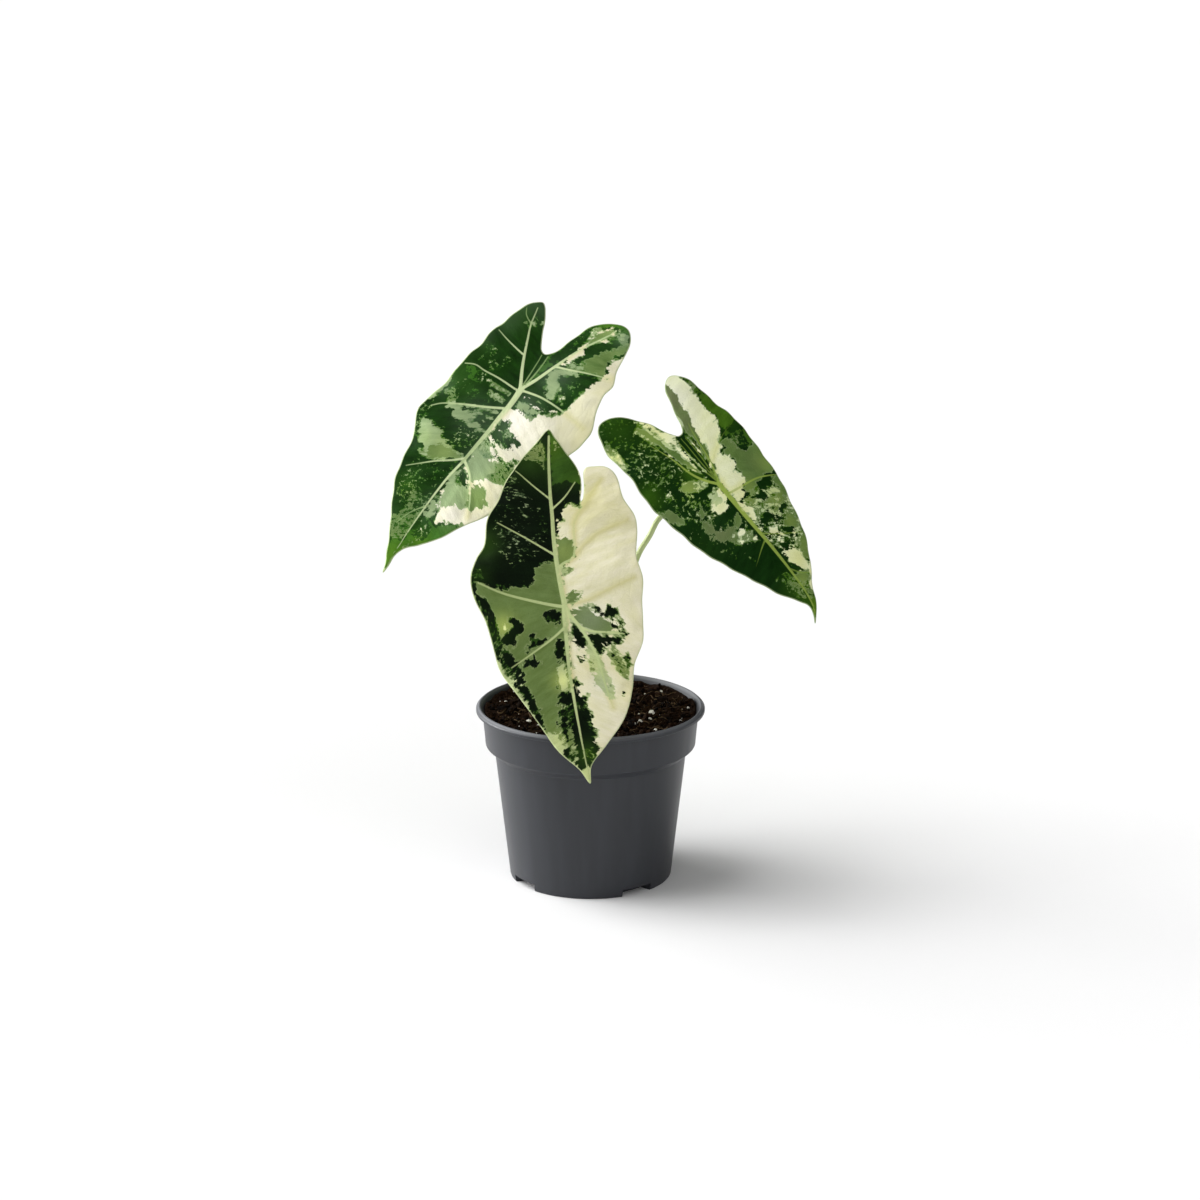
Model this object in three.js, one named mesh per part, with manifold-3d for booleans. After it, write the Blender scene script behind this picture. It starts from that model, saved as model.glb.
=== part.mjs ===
// Variegated Alocasia frydek with three leaves, growing in a round plastic nursery pot.
// Units are millimetres and +Z is up. The origin is the centre of the pot's foot.
//
// A blade is drawn flat first, in two coordinates: `across`, to the blade's side, and `along`, from the
// stalk's joint towards the tip (the two rear lobes lie at negative values). One formula then bends,
// folds, curls and waves the flat blade into its place.

import * as THREE from "three";
import Module from "manifold-3d";
import { mergeVertices } from "three/addons/utils/BufferGeometryUtils.js";

const wasm = await Module();
wasm.setup();

// ---------------------------------------------------------------- driving dimensions

const GAP = 0.3; // clearance between neighbouring pieces
const ROUND = 60; // facets round the pot and the soil

// pot
const POT_HEIGHT = 93.2; // crest of the lip
const LIP_CREST_RADIUS = 58;
const LIP_INNER_RADIUS = 57.2;
const LIP_RADIUS = 60.2;
const LIP_EDGE_HEIGHT = 92; // top of the lip's outer face
const LIP_FOOT_HEIGHT = 90.2;
const BAND_TOP_RADIUS = 56.9;
const BAND_FOOT_RADIUS = 55.3;
const BAND_FOOT_HEIGHT = 72.3;
const SHOULDER_RADIUS = 50.5;
const SHOULDER_HEIGHT = 68.4;
const FOOT_RADIUS = 42.8;
const WALL = 1.2;
const FLOOR = 1.6;
const EDGE = 0.4; // small bevels on the moulding

// foot notches with their drain holes
const NOTCH_COUNT = 4;
const NOTCH_START = 35; // degrees from +X, seen from above
const NOTCH_HALF_ANGLE = 12;
const NOTCH_HEIGHT = 4;
const NOTCH_INNER_RADIUS = 36;
const DRAIN_RADIUS = 2.2;

// soil
const SOIL_HEIGHT = 89.5;
const SOIL_RINGS = 9;

// crown: the short rhizome top that carries the stalks
const CROWN_CENTRE = [1, 4];
const CROWN_RADIUS = 11;
const CROWN_FOOT = 60;
const CROWN_TOP = 94.5;
const CROWN_SIDES = 24;

// stalks
const STALK_SIDES = 10;
const STALK_STEPS = 22;
const STALK_FOOT = 80; // height at which a stalk starts inside the crown
const STALK_RADII = [3.9, 3.1, 2.3, 1.85, 1.55, 1.4]; // foot to top, at even steps

// blades
const BLADE_THICKNESS = 0.7;
const VALLEY_RADIUS = 5; // rounding of the fold at the midrib
const PUFF = 0.8; // how far the skin swells between the ribs
const PUFF_REACH = 11;
const JOINT_SWELL = 1.0; // thickening of the underside over the stalk
const JOINT_SWELL_RADIUS = 4.5;
const OUTLINE_STEP = 4.2;
const RIB_STEP = 4.4;
const SKIN_STEP = 8.2;

// ribs: half width and height under the blade, and height on top
const MIDRIB = { half: 1.5, under: 1.3, over: 0.35 };
const SIDE_RIB = { half: 1.1, under: 0.7, over: 0.25 };
const FINE_RIB = { half: 0.8, under: 0.4, over: 0.15 };

// ---------------------------------------------------------------- the three blades

const leftBlade = {
  joint: [-36.7, 39, 253.9],
  tilt: 38,
  yaw: -14,
  spin: -28.8,
  bendTip: 0.0038,
  bendLobe: 0.003,
  foldTip: 9,
  foldLobe: 12,
  curl: 0.0026,
  wave: 1.5,
  waveLength: 36,
  waveStart: [-6, 8],
  outline: [
    [-22.8, -47.8], [-27, -43], [-29.4, -36], [-31, -26], [-34, -20], [-34, -10], [-35, 1],
    [-37.4, 17], [-40, 32], [-39.4, 40], [-34.6, 51], [-33.3, 59], [-30, 72], [-24.4, 87],
    [-17, 101], [-12, 113], [-9.5, 121], [-7.8, 110], [-5, 104], [0.6, 99], [10.6, 89],
    [16.7, 80], [25, 69], [31, 61], [36, 52], [41, 42], [46, 22], [48.7, 9], [48.3, 1],
    [44, -11], [42.8, -18], [42.6, -26], [37, -37], [36, -45], [33.3, -53], [28, -58], [23, -59.2],
    [16, -57], [10.6, -53], [7, -48], [4.4, -37], [1.4, -27], [-1.8, -23.4], [-5, -24.6],
    [-10.6, -33], [-14, -39], [-19.4, -46],
  ],
  ribs: [
    { ...MIDRIB, path: [[0, 0], [-0.6, 30], [-1.9, 48], [-5, 70], [-7.4, 92], [-9.5, 113]] },
    { ...MIDRIB, path: [[0, 0], [-7, -11], [-15, -26], [-18, -32], [-22, -43]] },
    { ...MIDRIB, path: [[0, 0], [4, -8], [9, -23], [16, -39], [23, -51]] },
    { ...SIDE_RIB, path: [[-11, -16.5], [-17, -17.5], [-31, -21]] },
    { ...SIDE_RIB, path: [[-0.6, 1.7], [-13, 2], [-28, 2.4], [-33.5, 4.6]] },
    { ...SIDE_RIB, path: [[-1, 14], [-10.6, 19], [-22, 24], [-35, 31.5]] },
    { ...SIDE_RIB, path: [[-2, 47], [-7, 51], [-16, 57], [-28, 66.5]] },
    { ...SIDE_RIB, path: [[8, -20], [16, -22], [39, -29]] },
    { ...SIDE_RIB, path: [[0.6, 0.6], [12, -1], [28, -1], [43, 1]] },
    { ...SIDE_RIB, path: [[0, 16], [10, 20], [24, 27], [38, 35]] },
    { ...SIDE_RIB, path: [[-1.6, 48], [5.6, 53], [14, 64], [18, 72]] },
    { ...FINE_RIB, path: [[-5.6, 78], [-12, 86], [-16, 94]] },
    { ...FINE_RIB, path: [[0, -2], [-1.6, -20]] },
  ],
};

const frontBlade = {
  joint: [-12.5, -40, 154.8],
  tilt: 24,
  yaw: 2,
  spin: 7.4,
  bendTip: 0.001,
  bendLobe: 0.0026,
  foldTip: 7,
  foldLobe: 9,
  curl: 0.0024,
  wave: 1.4,
  waveLength: 34,
  waveStart: [0, 8],
  outline: [
    [5.3, -97.8], [-3, -90.6], [-16.4, -77], [-21, -71], [-26.4, -61], [-33, -52], [-36.4, -39],
    [-41, -33], [-45.4, -23], [-45.3, -14], [-41, 0], [-38.8, 15], [-37, 26], [-29.2, 41],
    [-21, 56], [-13.7, 70], [-4.2, 81], [0.2, 88.3], [1.9, 80], [11.3, 70], [22, 58], [28, 44],
    [30.8, 32], [36.6, 21], [38.2, 11], [39.4, 0], [41.3, -11], [39.7, -22], [42.3, -37], [42.2, -43],
    [37.4, -54], [36.4, -65], [34.4, -69.6], [30.8, -72.6], [25.8, -73.5], [21.4, -73.5],
    [19.7, -71.7], [19, -68], [18.6, -63.5], [17.9, -59.5], [16.9, -56.3], [15.9, -55.2],
    [15.8, -56.6], [16.9, -60.6], [17.6, -65], [17.6, -69], [17, -72.8], [13.6, -80.5], [8, -92.1],
  ],
  ribs: [
    { ...MIDRIB, path: [[0.4, 0], [-1.2, 14], [-1.4, 32], [-1.4, 54], [-0.9, 76], [0.1, 85]] },
    { ...MIDRIB, path: [[0.4, 0], [-1.2, -16], [-0.3, -43], [2.4, -72], [4.9, -93]] },
    { ...MIDRIB, path: [[0.4, -2], [0.8, -23], [8, -27], [11, -45], [17, -53], [28, -66]] },
    { ...SIDE_RIB, path: [[0.6, -59], [-7.6, -68], [-15, -76]] },
    { ...SIDE_RIB, path: [[-1, -29], [-11, -37], [-20, -44], [-31, -52]] },
    { ...SIDE_RIB, path: [[0, -2], [-10, -5], [-30, -13], [-42, -20]] },
    { ...SIDE_RIB, path: [[1.4, -54], [8, -59], [14.4, -66]] },
    { ...SIDE_RIB, path: [[9, -28], [15, -33], [21, -37], [38, -42]] },
    { ...SIDE_RIB, path: [[1, -3], [12, -4], [21, -7], [37, -12]] },
    { ...SIDE_RIB, path: [[-1.2, 8], [-7.6, 13], [-19, 19], [-34, 28]] },
    { ...SIDE_RIB, path: [[1, 1], [7, 11], [13.6, 26], [15.8, 41], [17, 52]] },
    { ...FINE_RIB, path: [[8, 12], [15, 13], [34, 18]] },
    { ...FINE_RIB, path: [[-1.6, 34], [-10, 42], [-20, 52]] },
  ],
};

const rightBlade = {
  joint: [66.5, 4, 210.5],
  tilt: 34,
  yaw: 24,
  spin: 25.7,
  bendTip: 0.0034,
  bendLobe: 0.003,
  foldTip: -9,
  foldLobe: -5,
  curl: 0.001,
  wave: 1.2,
  waveLength: 36,
  waveStart: [0, 6],
  outline: [
    [-28, -62.5], [-31.4, -61.8], [-34.2, -59], [-36.4, -53], [-37.6, -44], [-37.1, -33],
    [-37.9, -18], [-36.2, -4], [-34.9, 4], [-31.7, 16.3], [-26.1, 30], [-19.8, 42.8], [-12.8, 54.4],
    [-5.6, 66], [2, 74.4], [4.8, 78.1], [5.2, 83.9], [3.7, 88.3], [7.8, 84.1], [14.2, 72.8],
    [21.7, 60], [27.8, 47.8], [32.4, 35], [34.4, 22.2], [36.2, 6.7], [36.5, -4], [35.2, -17],
    [34.4, -29], [31.4, -46], [29.4, -53], [27, -58.6], [23.6, -62.3], [20, -63.1], [15.6, -61.1],
    [12.2, -57.2], [7.8, -46], [4.4, -36.7], [2.4, -33.4], [-1, -33], [-3.4, -35.4], [-7.2, -43.5],
    [-13.9, -53.9], [-19, -58.8], [-23.4, -61.7],
  ],
  ribs: [
    { ...MIDRIB, path: [[0, 0], [1.4, 20], [4.2, 41], [6.7, 60], [8, 75], [6.6, 82]] },
    { ...MIDRIB, path: [[0, 0], [-5.6, -6], [-9.4, -13], [-15, -31], [-22, -49], [-26, -56]] },
    { ...MIDRIB, path: [[0, 0], [4.4, -13], [6.7, -27], [11.7, -44], [17, -55]] },
    { ...SIDE_RIB, path: [[4, -11], [10, -15], [21, -20.6], [33, -24]] },
    { ...SIDE_RIB, path: [[0.8, 6.7], [8, 7.2], [23, 8.3], [34, 12]] },
    { ...SIDE_RIB, path: [[-1, -2], [-12, -9], [-21, -11], [-35, -12]] },
    { ...SIDE_RIB, path: [[0.6, 8], [-12, 14], [-29, 20]] },
    { ...SIDE_RIB, path: [[3.3, 37], [-1, 39.4], [-14, 49]] },
    { ...SIDE_RIB, path: [[3, 33], [12, 38], [27, 45]] },
    { ...FINE_RIB, path: [[-10, -17], [-20, -24], [-34, -30]] },
    { ...FINE_RIB, path: [[6, 56], [12, 62], [18, 65]] },
    { ...FINE_RIB, path: [[0.4, -2], [0.6, -29]] },
  ],
};

// Each stalk's middle line, from the crown to just short of the blade.
const leftStalk = {
  blade: leftBlade,
  path: [[-3.6, 8, STALK_FOOT], [-12, 21, 125], [-25, 41, 185], [-34.2, 48.3, 230]],
};
const frontStalk = {
  blade: frontBlade,
  path: [[0.4, -2, STALK_FOOT], [-3, -5, 112], [-8, -15, 138], [-11.2, -28, 150.6]],
};
const rightStalk = {
  blade: rightBlade,
  path: [[6.4, 5.4, STALK_FOOT], [12, 6, 120], [24, 6, 173], [37, 5.5, 192.5]],
};

// ---------------------------------------------------------------- small tools

const radians = THREE.MathUtils.degToRad;

function smooth(from, to, x) {
  const t = THREE.MathUtils.clamp((x - from) / (to - from), 0, 1);
  return t * t * (3 - 2 * t);
}

// Merges shared vertices and turns the faces outwards.
function closed(geometry) {
  geometry.deleteAttribute("normal");
  geometry.deleteAttribute("uv");
  const merged = mergeVertices(geometry.index ? geometry : geometry.clone(), 1e-4);
  const position = merged.attributes.position;
  const index = merged.index.array;
  const kept = [];
  let volume = 0;
  const [a, b, c] = [new THREE.Vector3(), new THREE.Vector3(), new THREE.Vector3()];
  for (let i = 0; i < index.length; i += 3) {
    const [p, q, r] = [index[i], index[i + 1], index[i + 2]];
    if (p === q || q === r || r === p) continue;
    kept.push(p, q, r);
    a.fromBufferAttribute(position, p);
    b.fromBufferAttribute(position, q);
    c.fromBufferAttribute(position, r);
    volume += a.dot(b.cross(c));
  }
  if (volume < 0) kept.reverse();
  merged.setIndex(kept);
  return merged;
}

function solid(geometry) {
  const merged = closed(geometry);
  return new wasm.Manifold(new wasm.Mesh({
    numProp: 3,
    vertProperties: new Float32Array(merged.attributes.position.array),
    triVerts: new Uint32Array(merged.index.array),
  }));
}

function geometryOf(manifold) {
  const mesh = manifold.getMesh();
  const geometry = new THREE.BufferGeometry();
  geometry.setAttribute("position", new THREE.Float32BufferAttribute(mesh.vertProperties, 3));
  geometry.setIndex(Array.from(mesh.triVerts));
  return geometry;
}

// Turns a closed profile of [radius, height] points round the Z axis.
function turned(profile, sides) {
  const points = profile.map(([radius, height]) => new THREE.Vector2(radius, height));
  return new THREE.LatheGeometry(points, sides).rotateX(Math.PI / 2);
}

// A block between two radii, two heights and a half angle on each side of `centre` degrees.
function sector(inner, outer, low, high, centre, halfAngle) {
  const [start, end] = [radians(centre - halfAngle), radians(centre + halfAngle)];
  const shape = new THREE.Shape();
  shape.absarc(0, 0, outer, start, end, false);
  shape.absarc(0, 0, inner, end, start, true);
  shape.closePath();
  const block = new THREE.ExtrudeGeometry(shape, {
    depth: high - low,
    bevelEnabled: false,
    curveSegments: 6,
  });
  return block.translate(0, 0, low);
}

function named(name, geometry, material) {
  const mesh = new THREE.Mesh(geometry, material);
  mesh.name = name;
  return mesh;
}

// ---------------------------------------------------------------- pot

const notchAngles = Array.from({ length: NOTCH_COUNT }, (_, i) => NOTCH_START + (i * 360) / NOTCH_COUNT);
const NOTCH_WALL_ANGLE = THREE.MathUtils.radToDeg(WALL / NOTCH_INNER_RADIUS);

function potGeometry() {
  const shell = turned([
    [0, 0],
    [FOOT_RADIUS - EDGE, 0],
    [FOOT_RADIUS, EDGE],
    [SHOULDER_RADIUS, SHOULDER_HEIGHT],
    [BAND_FOOT_RADIUS, BAND_FOOT_HEIGHT],
    [BAND_TOP_RADIUS, LIP_FOOT_HEIGHT],
    [LIP_RADIUS - EDGE, LIP_FOOT_HEIGHT],
    [LIP_RADIUS, LIP_FOOT_HEIGHT + EDGE],
    [LIP_RADIUS, LIP_EDGE_HEIGHT - EDGE],
    [LIP_RADIUS - EDGE, LIP_EDGE_HEIGHT],
    [LIP_CREST_RADIUS, POT_HEIGHT],
    [LIP_INNER_RADIUS, POT_HEIGHT - EDGE],
    [BAND_TOP_RADIUS - WALL, LIP_FOOT_HEIGHT],
    [BAND_FOOT_RADIUS - WALL, BAND_FOOT_HEIGHT + WALL / 2],
    [SHOULDER_RADIUS - WALL, SHOULDER_HEIGHT + WALL / 2],
    [FOOT_RADIUS - WALL, FLOOR],
    [0, FLOOR],
  ], ROUND);
  let pot = solid(shell);
  const insideWall = FOOT_RADIUS - WALL / 4;
  for (const angle of notchAngles) {
    const half = NOTCH_HALF_ANGLE + NOTCH_WALL_ANGLE;
    const top = NOTCH_HEIGHT + WALL;
    pot = pot.add(solid(sector(NOTCH_INNER_RADIUS - WALL, insideWall, FLOOR / 2, top, angle, half)));
  }
  for (const angle of notchAngles) {
    const drain = new THREE.CylinderGeometry(DRAIN_RADIUS, DRAIN_RADIUS, 4 * WALL, 12);
    const middle = (NOTCH_INNER_RADIUS + FOOT_RADIUS - WALL) / 2;
    drain.rotateX(Math.PI / 2).translate(middle, 0, NOTCH_HEIGHT + WALL / 2).rotateZ(radians(angle));
    const notch = sector(NOTCH_INNER_RADIUS, LIP_RADIUS, -FLOOR, NOTCH_HEIGHT, angle, NOTCH_HALF_ANGLE);
    pot = pot.subtract(solid(notch)).subtract(solid(drain));
  }
  return geometryOf(pot);
}

// ---------------------------------------------------------------- crown

function crownProfile(grow) {
  const [foot, top] = [CROWN_FOOT - grow, CROWN_TOP + grow];
  const waist = CROWN_RADIUS + grow;
  return [
    [0, foot],
    [waist * 0.55, foot + 2],
    [waist * 0.95, foot + 10],
    [waist, foot + 17],
    [waist * 0.97, top - 8],
    [waist * 0.86, top - 4],
    [waist * 0.6, top - 1.2],
    [0, top],
  ];
}

function crownBody(grow) {
  return solid(turned(crownProfile(grow), CROWN_SIDES).translate(CROWN_CENTRE[0], CROWN_CENTRE[1], 0));
}

// ---------------------------------------------------------------- blade surface

function bladeFrame({ tilt, yaw, spin }) {
  const [t, y, s] = [radians(tilt), radians(yaw), radians(spin)];
  const face = new THREE.Vector3(Math.sin(y) * Math.cos(t), -Math.cos(y) * Math.cos(t), Math.sin(t));
  const down = new THREE.Vector3(0, 0, -1).projectOnPlane(face).normalize();
  const side = face.clone().cross(down);
  const along = down.multiplyScalar(Math.cos(s)).addScaledVector(side, Math.sin(s));
  return { face, along, across: face.clone().cross(along) };
}

function distanceToPath(path, across, along) {
  let nearest = Infinity;
  for (let i = 0; i + 1 < path.length; i += 1) {
    const [p, q] = [path[i], path[i + 1]];
    const [dx, dy] = [q[0] - p[0], q[1] - p[1]];
    const t = ((across - p[0]) * dx + (along - p[1]) * dy) / (dx * dx + dy * dy);
    const k = THREE.MathUtils.clamp(t, 0, 1);
    nearest = Math.min(nearest, Math.hypot(across - p[0] - k * dx, along - p[1] - k * dy));
  }
  return nearest;
}

// Height of the skin's middle over the bent blade: the fold at the midrib, the curl and the wave.
function rise(blade, across, along) {
  const fold = THREE.MathUtils.lerp(blade.foldLobe, blade.foldTip, smooth(-15, 15, along));
  const valley = Math.tan(radians(fold)) * (Math.hypot(across, VALLEY_RADIUS) - VALLEY_RADIUS);
  const start = blade.waveStart[across < 0 ? 0 : 1];
  const wave = Math.sin((2 * Math.PI * (along - start)) / blade.waveLength);
  return valley - blade.curl * across * across + blade.wave * wave * smooth(8, 38, Math.abs(across));
}

// The point `lift` above the skin's middle, at a place given on the flat blade.
function onBlade(blade, frame, across, along, lift) {
  const bend = along >= 0 ? blade.bendTip : blade.bendLobe;
  const turn = bend * Math.abs(along);
  const side = Math.sign(along);
  const normal = frame.face.clone().multiplyScalar(Math.cos(turn));
  normal.addScaledVector(frame.along, Math.sin(turn) * side);
  return new THREE.Vector3(...blade.joint)
    .addScaledVector(frame.along, (side * Math.sin(turn)) / bend)
    .addScaledVector(frame.face, (Math.cos(turn) - 1) / bend)
    .addScaledVector(frame.across, across)
    .addScaledVector(normal, rise(blade, across, along) + lift);
}

// How far the skin swells, and how far the ribs stand out above and below it.
function relief(blade, rim, across, along) {
  let nearestRib = Infinity;
  let over = 0;
  let under = 0;
  for (const rib of blade.ribs) {
    const distance = distanceToPath(rib.path, across, along);
    const shape = Math.exp(-((distance / rib.half) ** 2));
    nearestRib = Math.min(nearestRib, distance);
    over = Math.max(over, rib.over * shape);
    under = Math.max(under, rib.under * shape);
  }
  const inside = distanceToPath(rim, across, along);
  const swell = PUFF * smooth(0, PUFF_REACH, nearestRib) * smooth(0, PUFF_REACH, inside);
  const joint = JOINT_SWELL * Math.exp(-((Math.hypot(across, along) / JOINT_SWELL_RADIUS) ** 2));
  const ends = smooth(0, 3, inside);
  return { swell, over: over * ends, under: Math.max(under, joint) * ends };
}

// ---------------------------------------------------------------- blade mesh

// The outline as a smooth closed curve through its points, in even steps.
function outlinePoints(outline) {
  const corners = outline.map(([across, along]) => new THREE.Vector3(across, along, 0));
  const curve = new THREE.CatmullRomCurve3(corners, true, "centripetal");
  const points = [];
  corners.forEach((corner, i) => {
    const next = corners[(i + 1) % corners.length];
    const steps = Math.max(1, Math.round(corner.distanceTo(next) / OUTLINE_STEP));
    for (let k = 0; k < steps; k += 1) {
      const point = curve.getPoint((i + k / steps) / corners.length);
      points.push([point.x, point.y]);
    }
  });
  return points;
}

function isInside(rim, [x, y]) {
  let inside = false;
  rim.forEach(([ax, ay], i) => {
    const [bx, by] = rim[(i + 1) % rim.length];
    if (ay > y !== by > y && x < ((bx - ax) * (y - ay)) / (by - ay) + ax) inside = !inside;
  });
  return inside;
}

// Points along a rib: its middle and, on a strong rib, a row on each side.
function ribPoints(rib) {
  const rows = rib.half > FINE_RIB.half ? [0, -1.7 * rib.half, 1.7 * rib.half] : [0];
  const points = [];
  for (let i = 0; i + 1 < rib.path.length; i += 1) {
    const [p, q] = [rib.path[i], rib.path[i + 1]];
    const length = Math.hypot(q[0] - p[0], q[1] - p[1]);
    const steps = Math.max(1, Math.round(length / RIB_STEP));
    for (let k = 0; k <= steps; k += 1) {
      const [x, y] = [p[0] + ((q[0] - p[0]) * k) / steps, p[1] + ((q[1] - p[1]) * k) / steps];
      for (const row of rows) {
        points.push([x - ((q[1] - p[1]) / length) * row, y + ((q[0] - p[0]) / length) * row]);
      }
    }
  }
  return points;
}

// A repeatable shift of less than 1, which keeps four points off one circle.
function shiftOf(i, salt) {
  const value = Math.sin(i * 12.9898 + salt * 78.233) * 43758.5453;
  return value - Math.floor(value) - 0.5;
}

function insidePoints(blade, rim) {
  const points = [];
  const closedRim = [...rim, rim[0]];
  const add = (point, clearance, rimClearance) => {
    const shifted = point.map((value, axis) => value + 0.04 * shiftOf(points.length, axis));
    if (!isInside(rim, shifted) || distanceToPath(closedRim, ...shifted) < rimClearance) return;
    if (points.some(([x, y]) => Math.hypot(x - shifted[0], y - shifted[1]) < clearance)) return;
    points.push(shifted);
  };
  for (const rib of blade.ribs) {
    for (const point of ribPoints(rib)) add(point, 1.3, 1.5);
  }
  const rowHeight = (SKIN_STEP * Math.sqrt(3)) / 2;
  for (let row = -16; row <= 20; row += 1) {
    for (let column = -8; column <= 8; column += 1) {
      const across = (column + (row % 2 === 0 ? 0 : 0.5)) * SKIN_STEP;
      add([across, row * rowHeight], SKIN_STEP * 0.6, SKIN_STEP * 0.45);
    }
  }
  return points;
}

// Delaunay triangles of a set of points, by adding one point after another.
function triangulate(points) {
  const far = 1e4;
  const all = [...points, [-far, -far], [far, -far], [0, far]];
  const withCircle = (a, b, c) => {
    const [[ax, ay], [bx, by], [cx, cy]] = [all[a], all[b], all[c]];
    const d = 2 * (ax * (by - cy) + bx * (cy - ay) + cx * (ay - by));
    const [aa, bb, cc] = [ax * ax + ay * ay, bx * bx + by * by, cx * cx + cy * cy];
    const x = (aa * (by - cy) + bb * (cy - ay) + cc * (ay - by)) / d;
    const y = (aa * (cx - bx) + bb * (ax - cx) + cc * (bx - ax)) / d;
    return { corners: [a, b, c], x, y, radius: Math.hypot(ax - x, ay - y) };
  };
  let triangles = [withCircle(points.length, points.length + 1, points.length + 2)];
  points.forEach(([px, py], index) => {
    const edges = new Map();
    triangles = triangles.filter(({ corners, x, y, radius }) => {
      if (Math.hypot(px - x, py - y) >= radius) return true;
      corners.forEach((from, i) => {
        const to = corners[(i + 1) % 3];
        if (!edges.delete(`${to} ${from}`)) edges.set(`${from} ${to}`, [from, to]);
      });
      return false;
    });
    for (const [from, to] of edges.values()) triangles.push(withCircle(from, to, index));
  });
  return triangles.map(({ corners }) => corners).filter((t) => t.every((i) => i < points.length));
}

// Triangles of the flat blade whose border is exactly the outline.
function flatMesh(blade) {
  let rim = outlinePoints(blade.outline);
  const inside = insidePoints(blade, rim);
  for (;;) {
    const points = [...rim, ...inside];
    const triangles = triangulate(points);
    const edges = new Set(triangles.flatMap(([a, b, c]) => [`${a} ${b}`, `${b} ${c}`, `${c} ${a}`]));
    const split = [];
    rim.forEach((point, i) => {
      const j = (i + 1) % rim.length;
      split.push(point);
      if (edges.has(`${i} ${j}`) || edges.has(`${j} ${i}`)) return;
      split.push([(point[0] + rim[j][0]) / 2, (point[1] + rim[j][1]) / 2]);
    });
    if (split.length > rim.length) {
      rim = split;
      continue;
    }
    const middle = (t, axis) => (points[t[0]][axis] + points[t[1]][axis] + points[t[2]][axis]) / 3;
    const kept = triangles.filter((t) => isInside(rim, [middle(t, 0), middle(t, 1)]));
    return { points, rim, triangles: kept };
  }
}

function bladeGeometry(blade) {
  const frame = bladeFrame(blade);
  const { points, rim, triangles } = flatMesh(blade);
  const closedRim = [...rim, rim[0]];
  const top = [];
  const bottom = [];
  for (const [across, along] of points) {
    const { swell, over, under } = relief(blade, closedRim, across, along);
    top.push(...onBlade(blade, frame, across, along, swell + over + BLADE_THICKNESS / 2));
    bottom.push(...onBlade(blade, frame, across, along, swell - under - BLADE_THICKNESS / 2));
  }
  const count = points.length;
  const index = [];
  const border = new Map();
  for (const corners of triangles) {
    const [a, b, c] = corners;
    index.push(a, b, c, c + count, b + count, a + count);
    corners.forEach((from, i) => {
      const to = corners[(i + 1) % 3];
      if (!border.delete(`${to} ${from}`)) border.set(`${from} ${to}`, [from, to]);
    });
  }
  for (const [from, to] of border.values()) {
    index.push(to, from, from + count, to, from + count, to + count);
  }
  const geometry = new THREE.BufferGeometry();
  geometry.setAttribute("position", new THREE.Float32BufferAttribute([...top, ...bottom], 3));
  geometry.setIndex(index);
  return closed(geometry);
}

// ---------------------------------------------------------------- stalks

function stalkRadius(t) {
  const place = t * (STALK_RADII.length - 1);
  const i = Math.min(Math.floor(place), STALK_RADII.length - 2);
  return THREE.MathUtils.lerp(STALK_RADII[i], STALK_RADII[i + 1], place - i);
}

// A tapering round stalk along its path, cut off level with the blade's underside.
function stalkGeometry({ blade, path }, grow) {
  const { face } = bladeFrame(blade);
  const depth = BLADE_THICKNESS / 2 + MIDRIB.under + GAP;
  const seat = new THREE.Vector3(...blade.joint).addScaledVector(face, -depth);
  const curve = new THREE.CatmullRomCurve3([...path.map((p) => new THREE.Vector3(...p)), seat]);
  const { tangents, normals, binormals } = curve.computeFrenetFrames(STALK_STEPS, false);
  const positions = [];
  for (let step = 0; step <= STALK_STEPS; step += 1) {
    const centre = curve.getPointAt(step / STALK_STEPS);
    const radius = stalkRadius(step / STALK_STEPS) + grow;
    if (step === 0) centre.addScaledVector(tangents[0], -grow);
    for (let side = 0; side < STALK_SIDES; side += 1) {
      const angle = (2 * Math.PI * side) / STALK_SIDES;
      const point = centre.clone();
      point.addScaledVector(normals[step], radius * Math.cos(angle));
      point.addScaledVector(binormals[step], radius * Math.sin(angle));
      if (step === STALK_STEPS) {
        const toSeat = seat.clone().sub(point).dot(face) / tangents[step].dot(face);
        point.addScaledVector(tangents[step], toSeat);
      }
      positions.push(...point);
    }
  }
  const index = [];
  for (let step = 0; step < STALK_STEPS; step += 1) {
    for (let side = 0; side < STALK_SIDES; side += 1) {
      const next = (side + 1) % STALK_SIDES;
      const [a, b] = [step * STALK_SIDES + side, step * STALK_SIDES + next];
      index.push(a, b, b + STALK_SIDES, a, b + STALK_SIDES, a + STALK_SIDES);
    }
  }
  const last = STALK_STEPS * STALK_SIDES;
  for (let side = 1; side + 1 < STALK_SIDES; side += 1) {
    index.push(0, side + 1, side, last, last + side, last + side + 1);
  }
  const geometry = new THREE.BufferGeometry();
  geometry.setAttribute("position", new THREE.Float32BufferAttribute(positions, 3));
  geometry.setIndex(index);
  return closed(geometry);
}

// ---------------------------------------------------------------- soil

// Lumps of the soil's surface.
function lump(x, y) {
  const broad = 0.9 * Math.sin(x / 7.3 + 1.1) * Math.cos(y / 6.1 - 0.4);
  return broad + 0.6 * Math.sin(x / 3.1 + y / 4.7) + 0.5 * Math.cos(x / 5.3 - y / 2.9);
}

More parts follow.
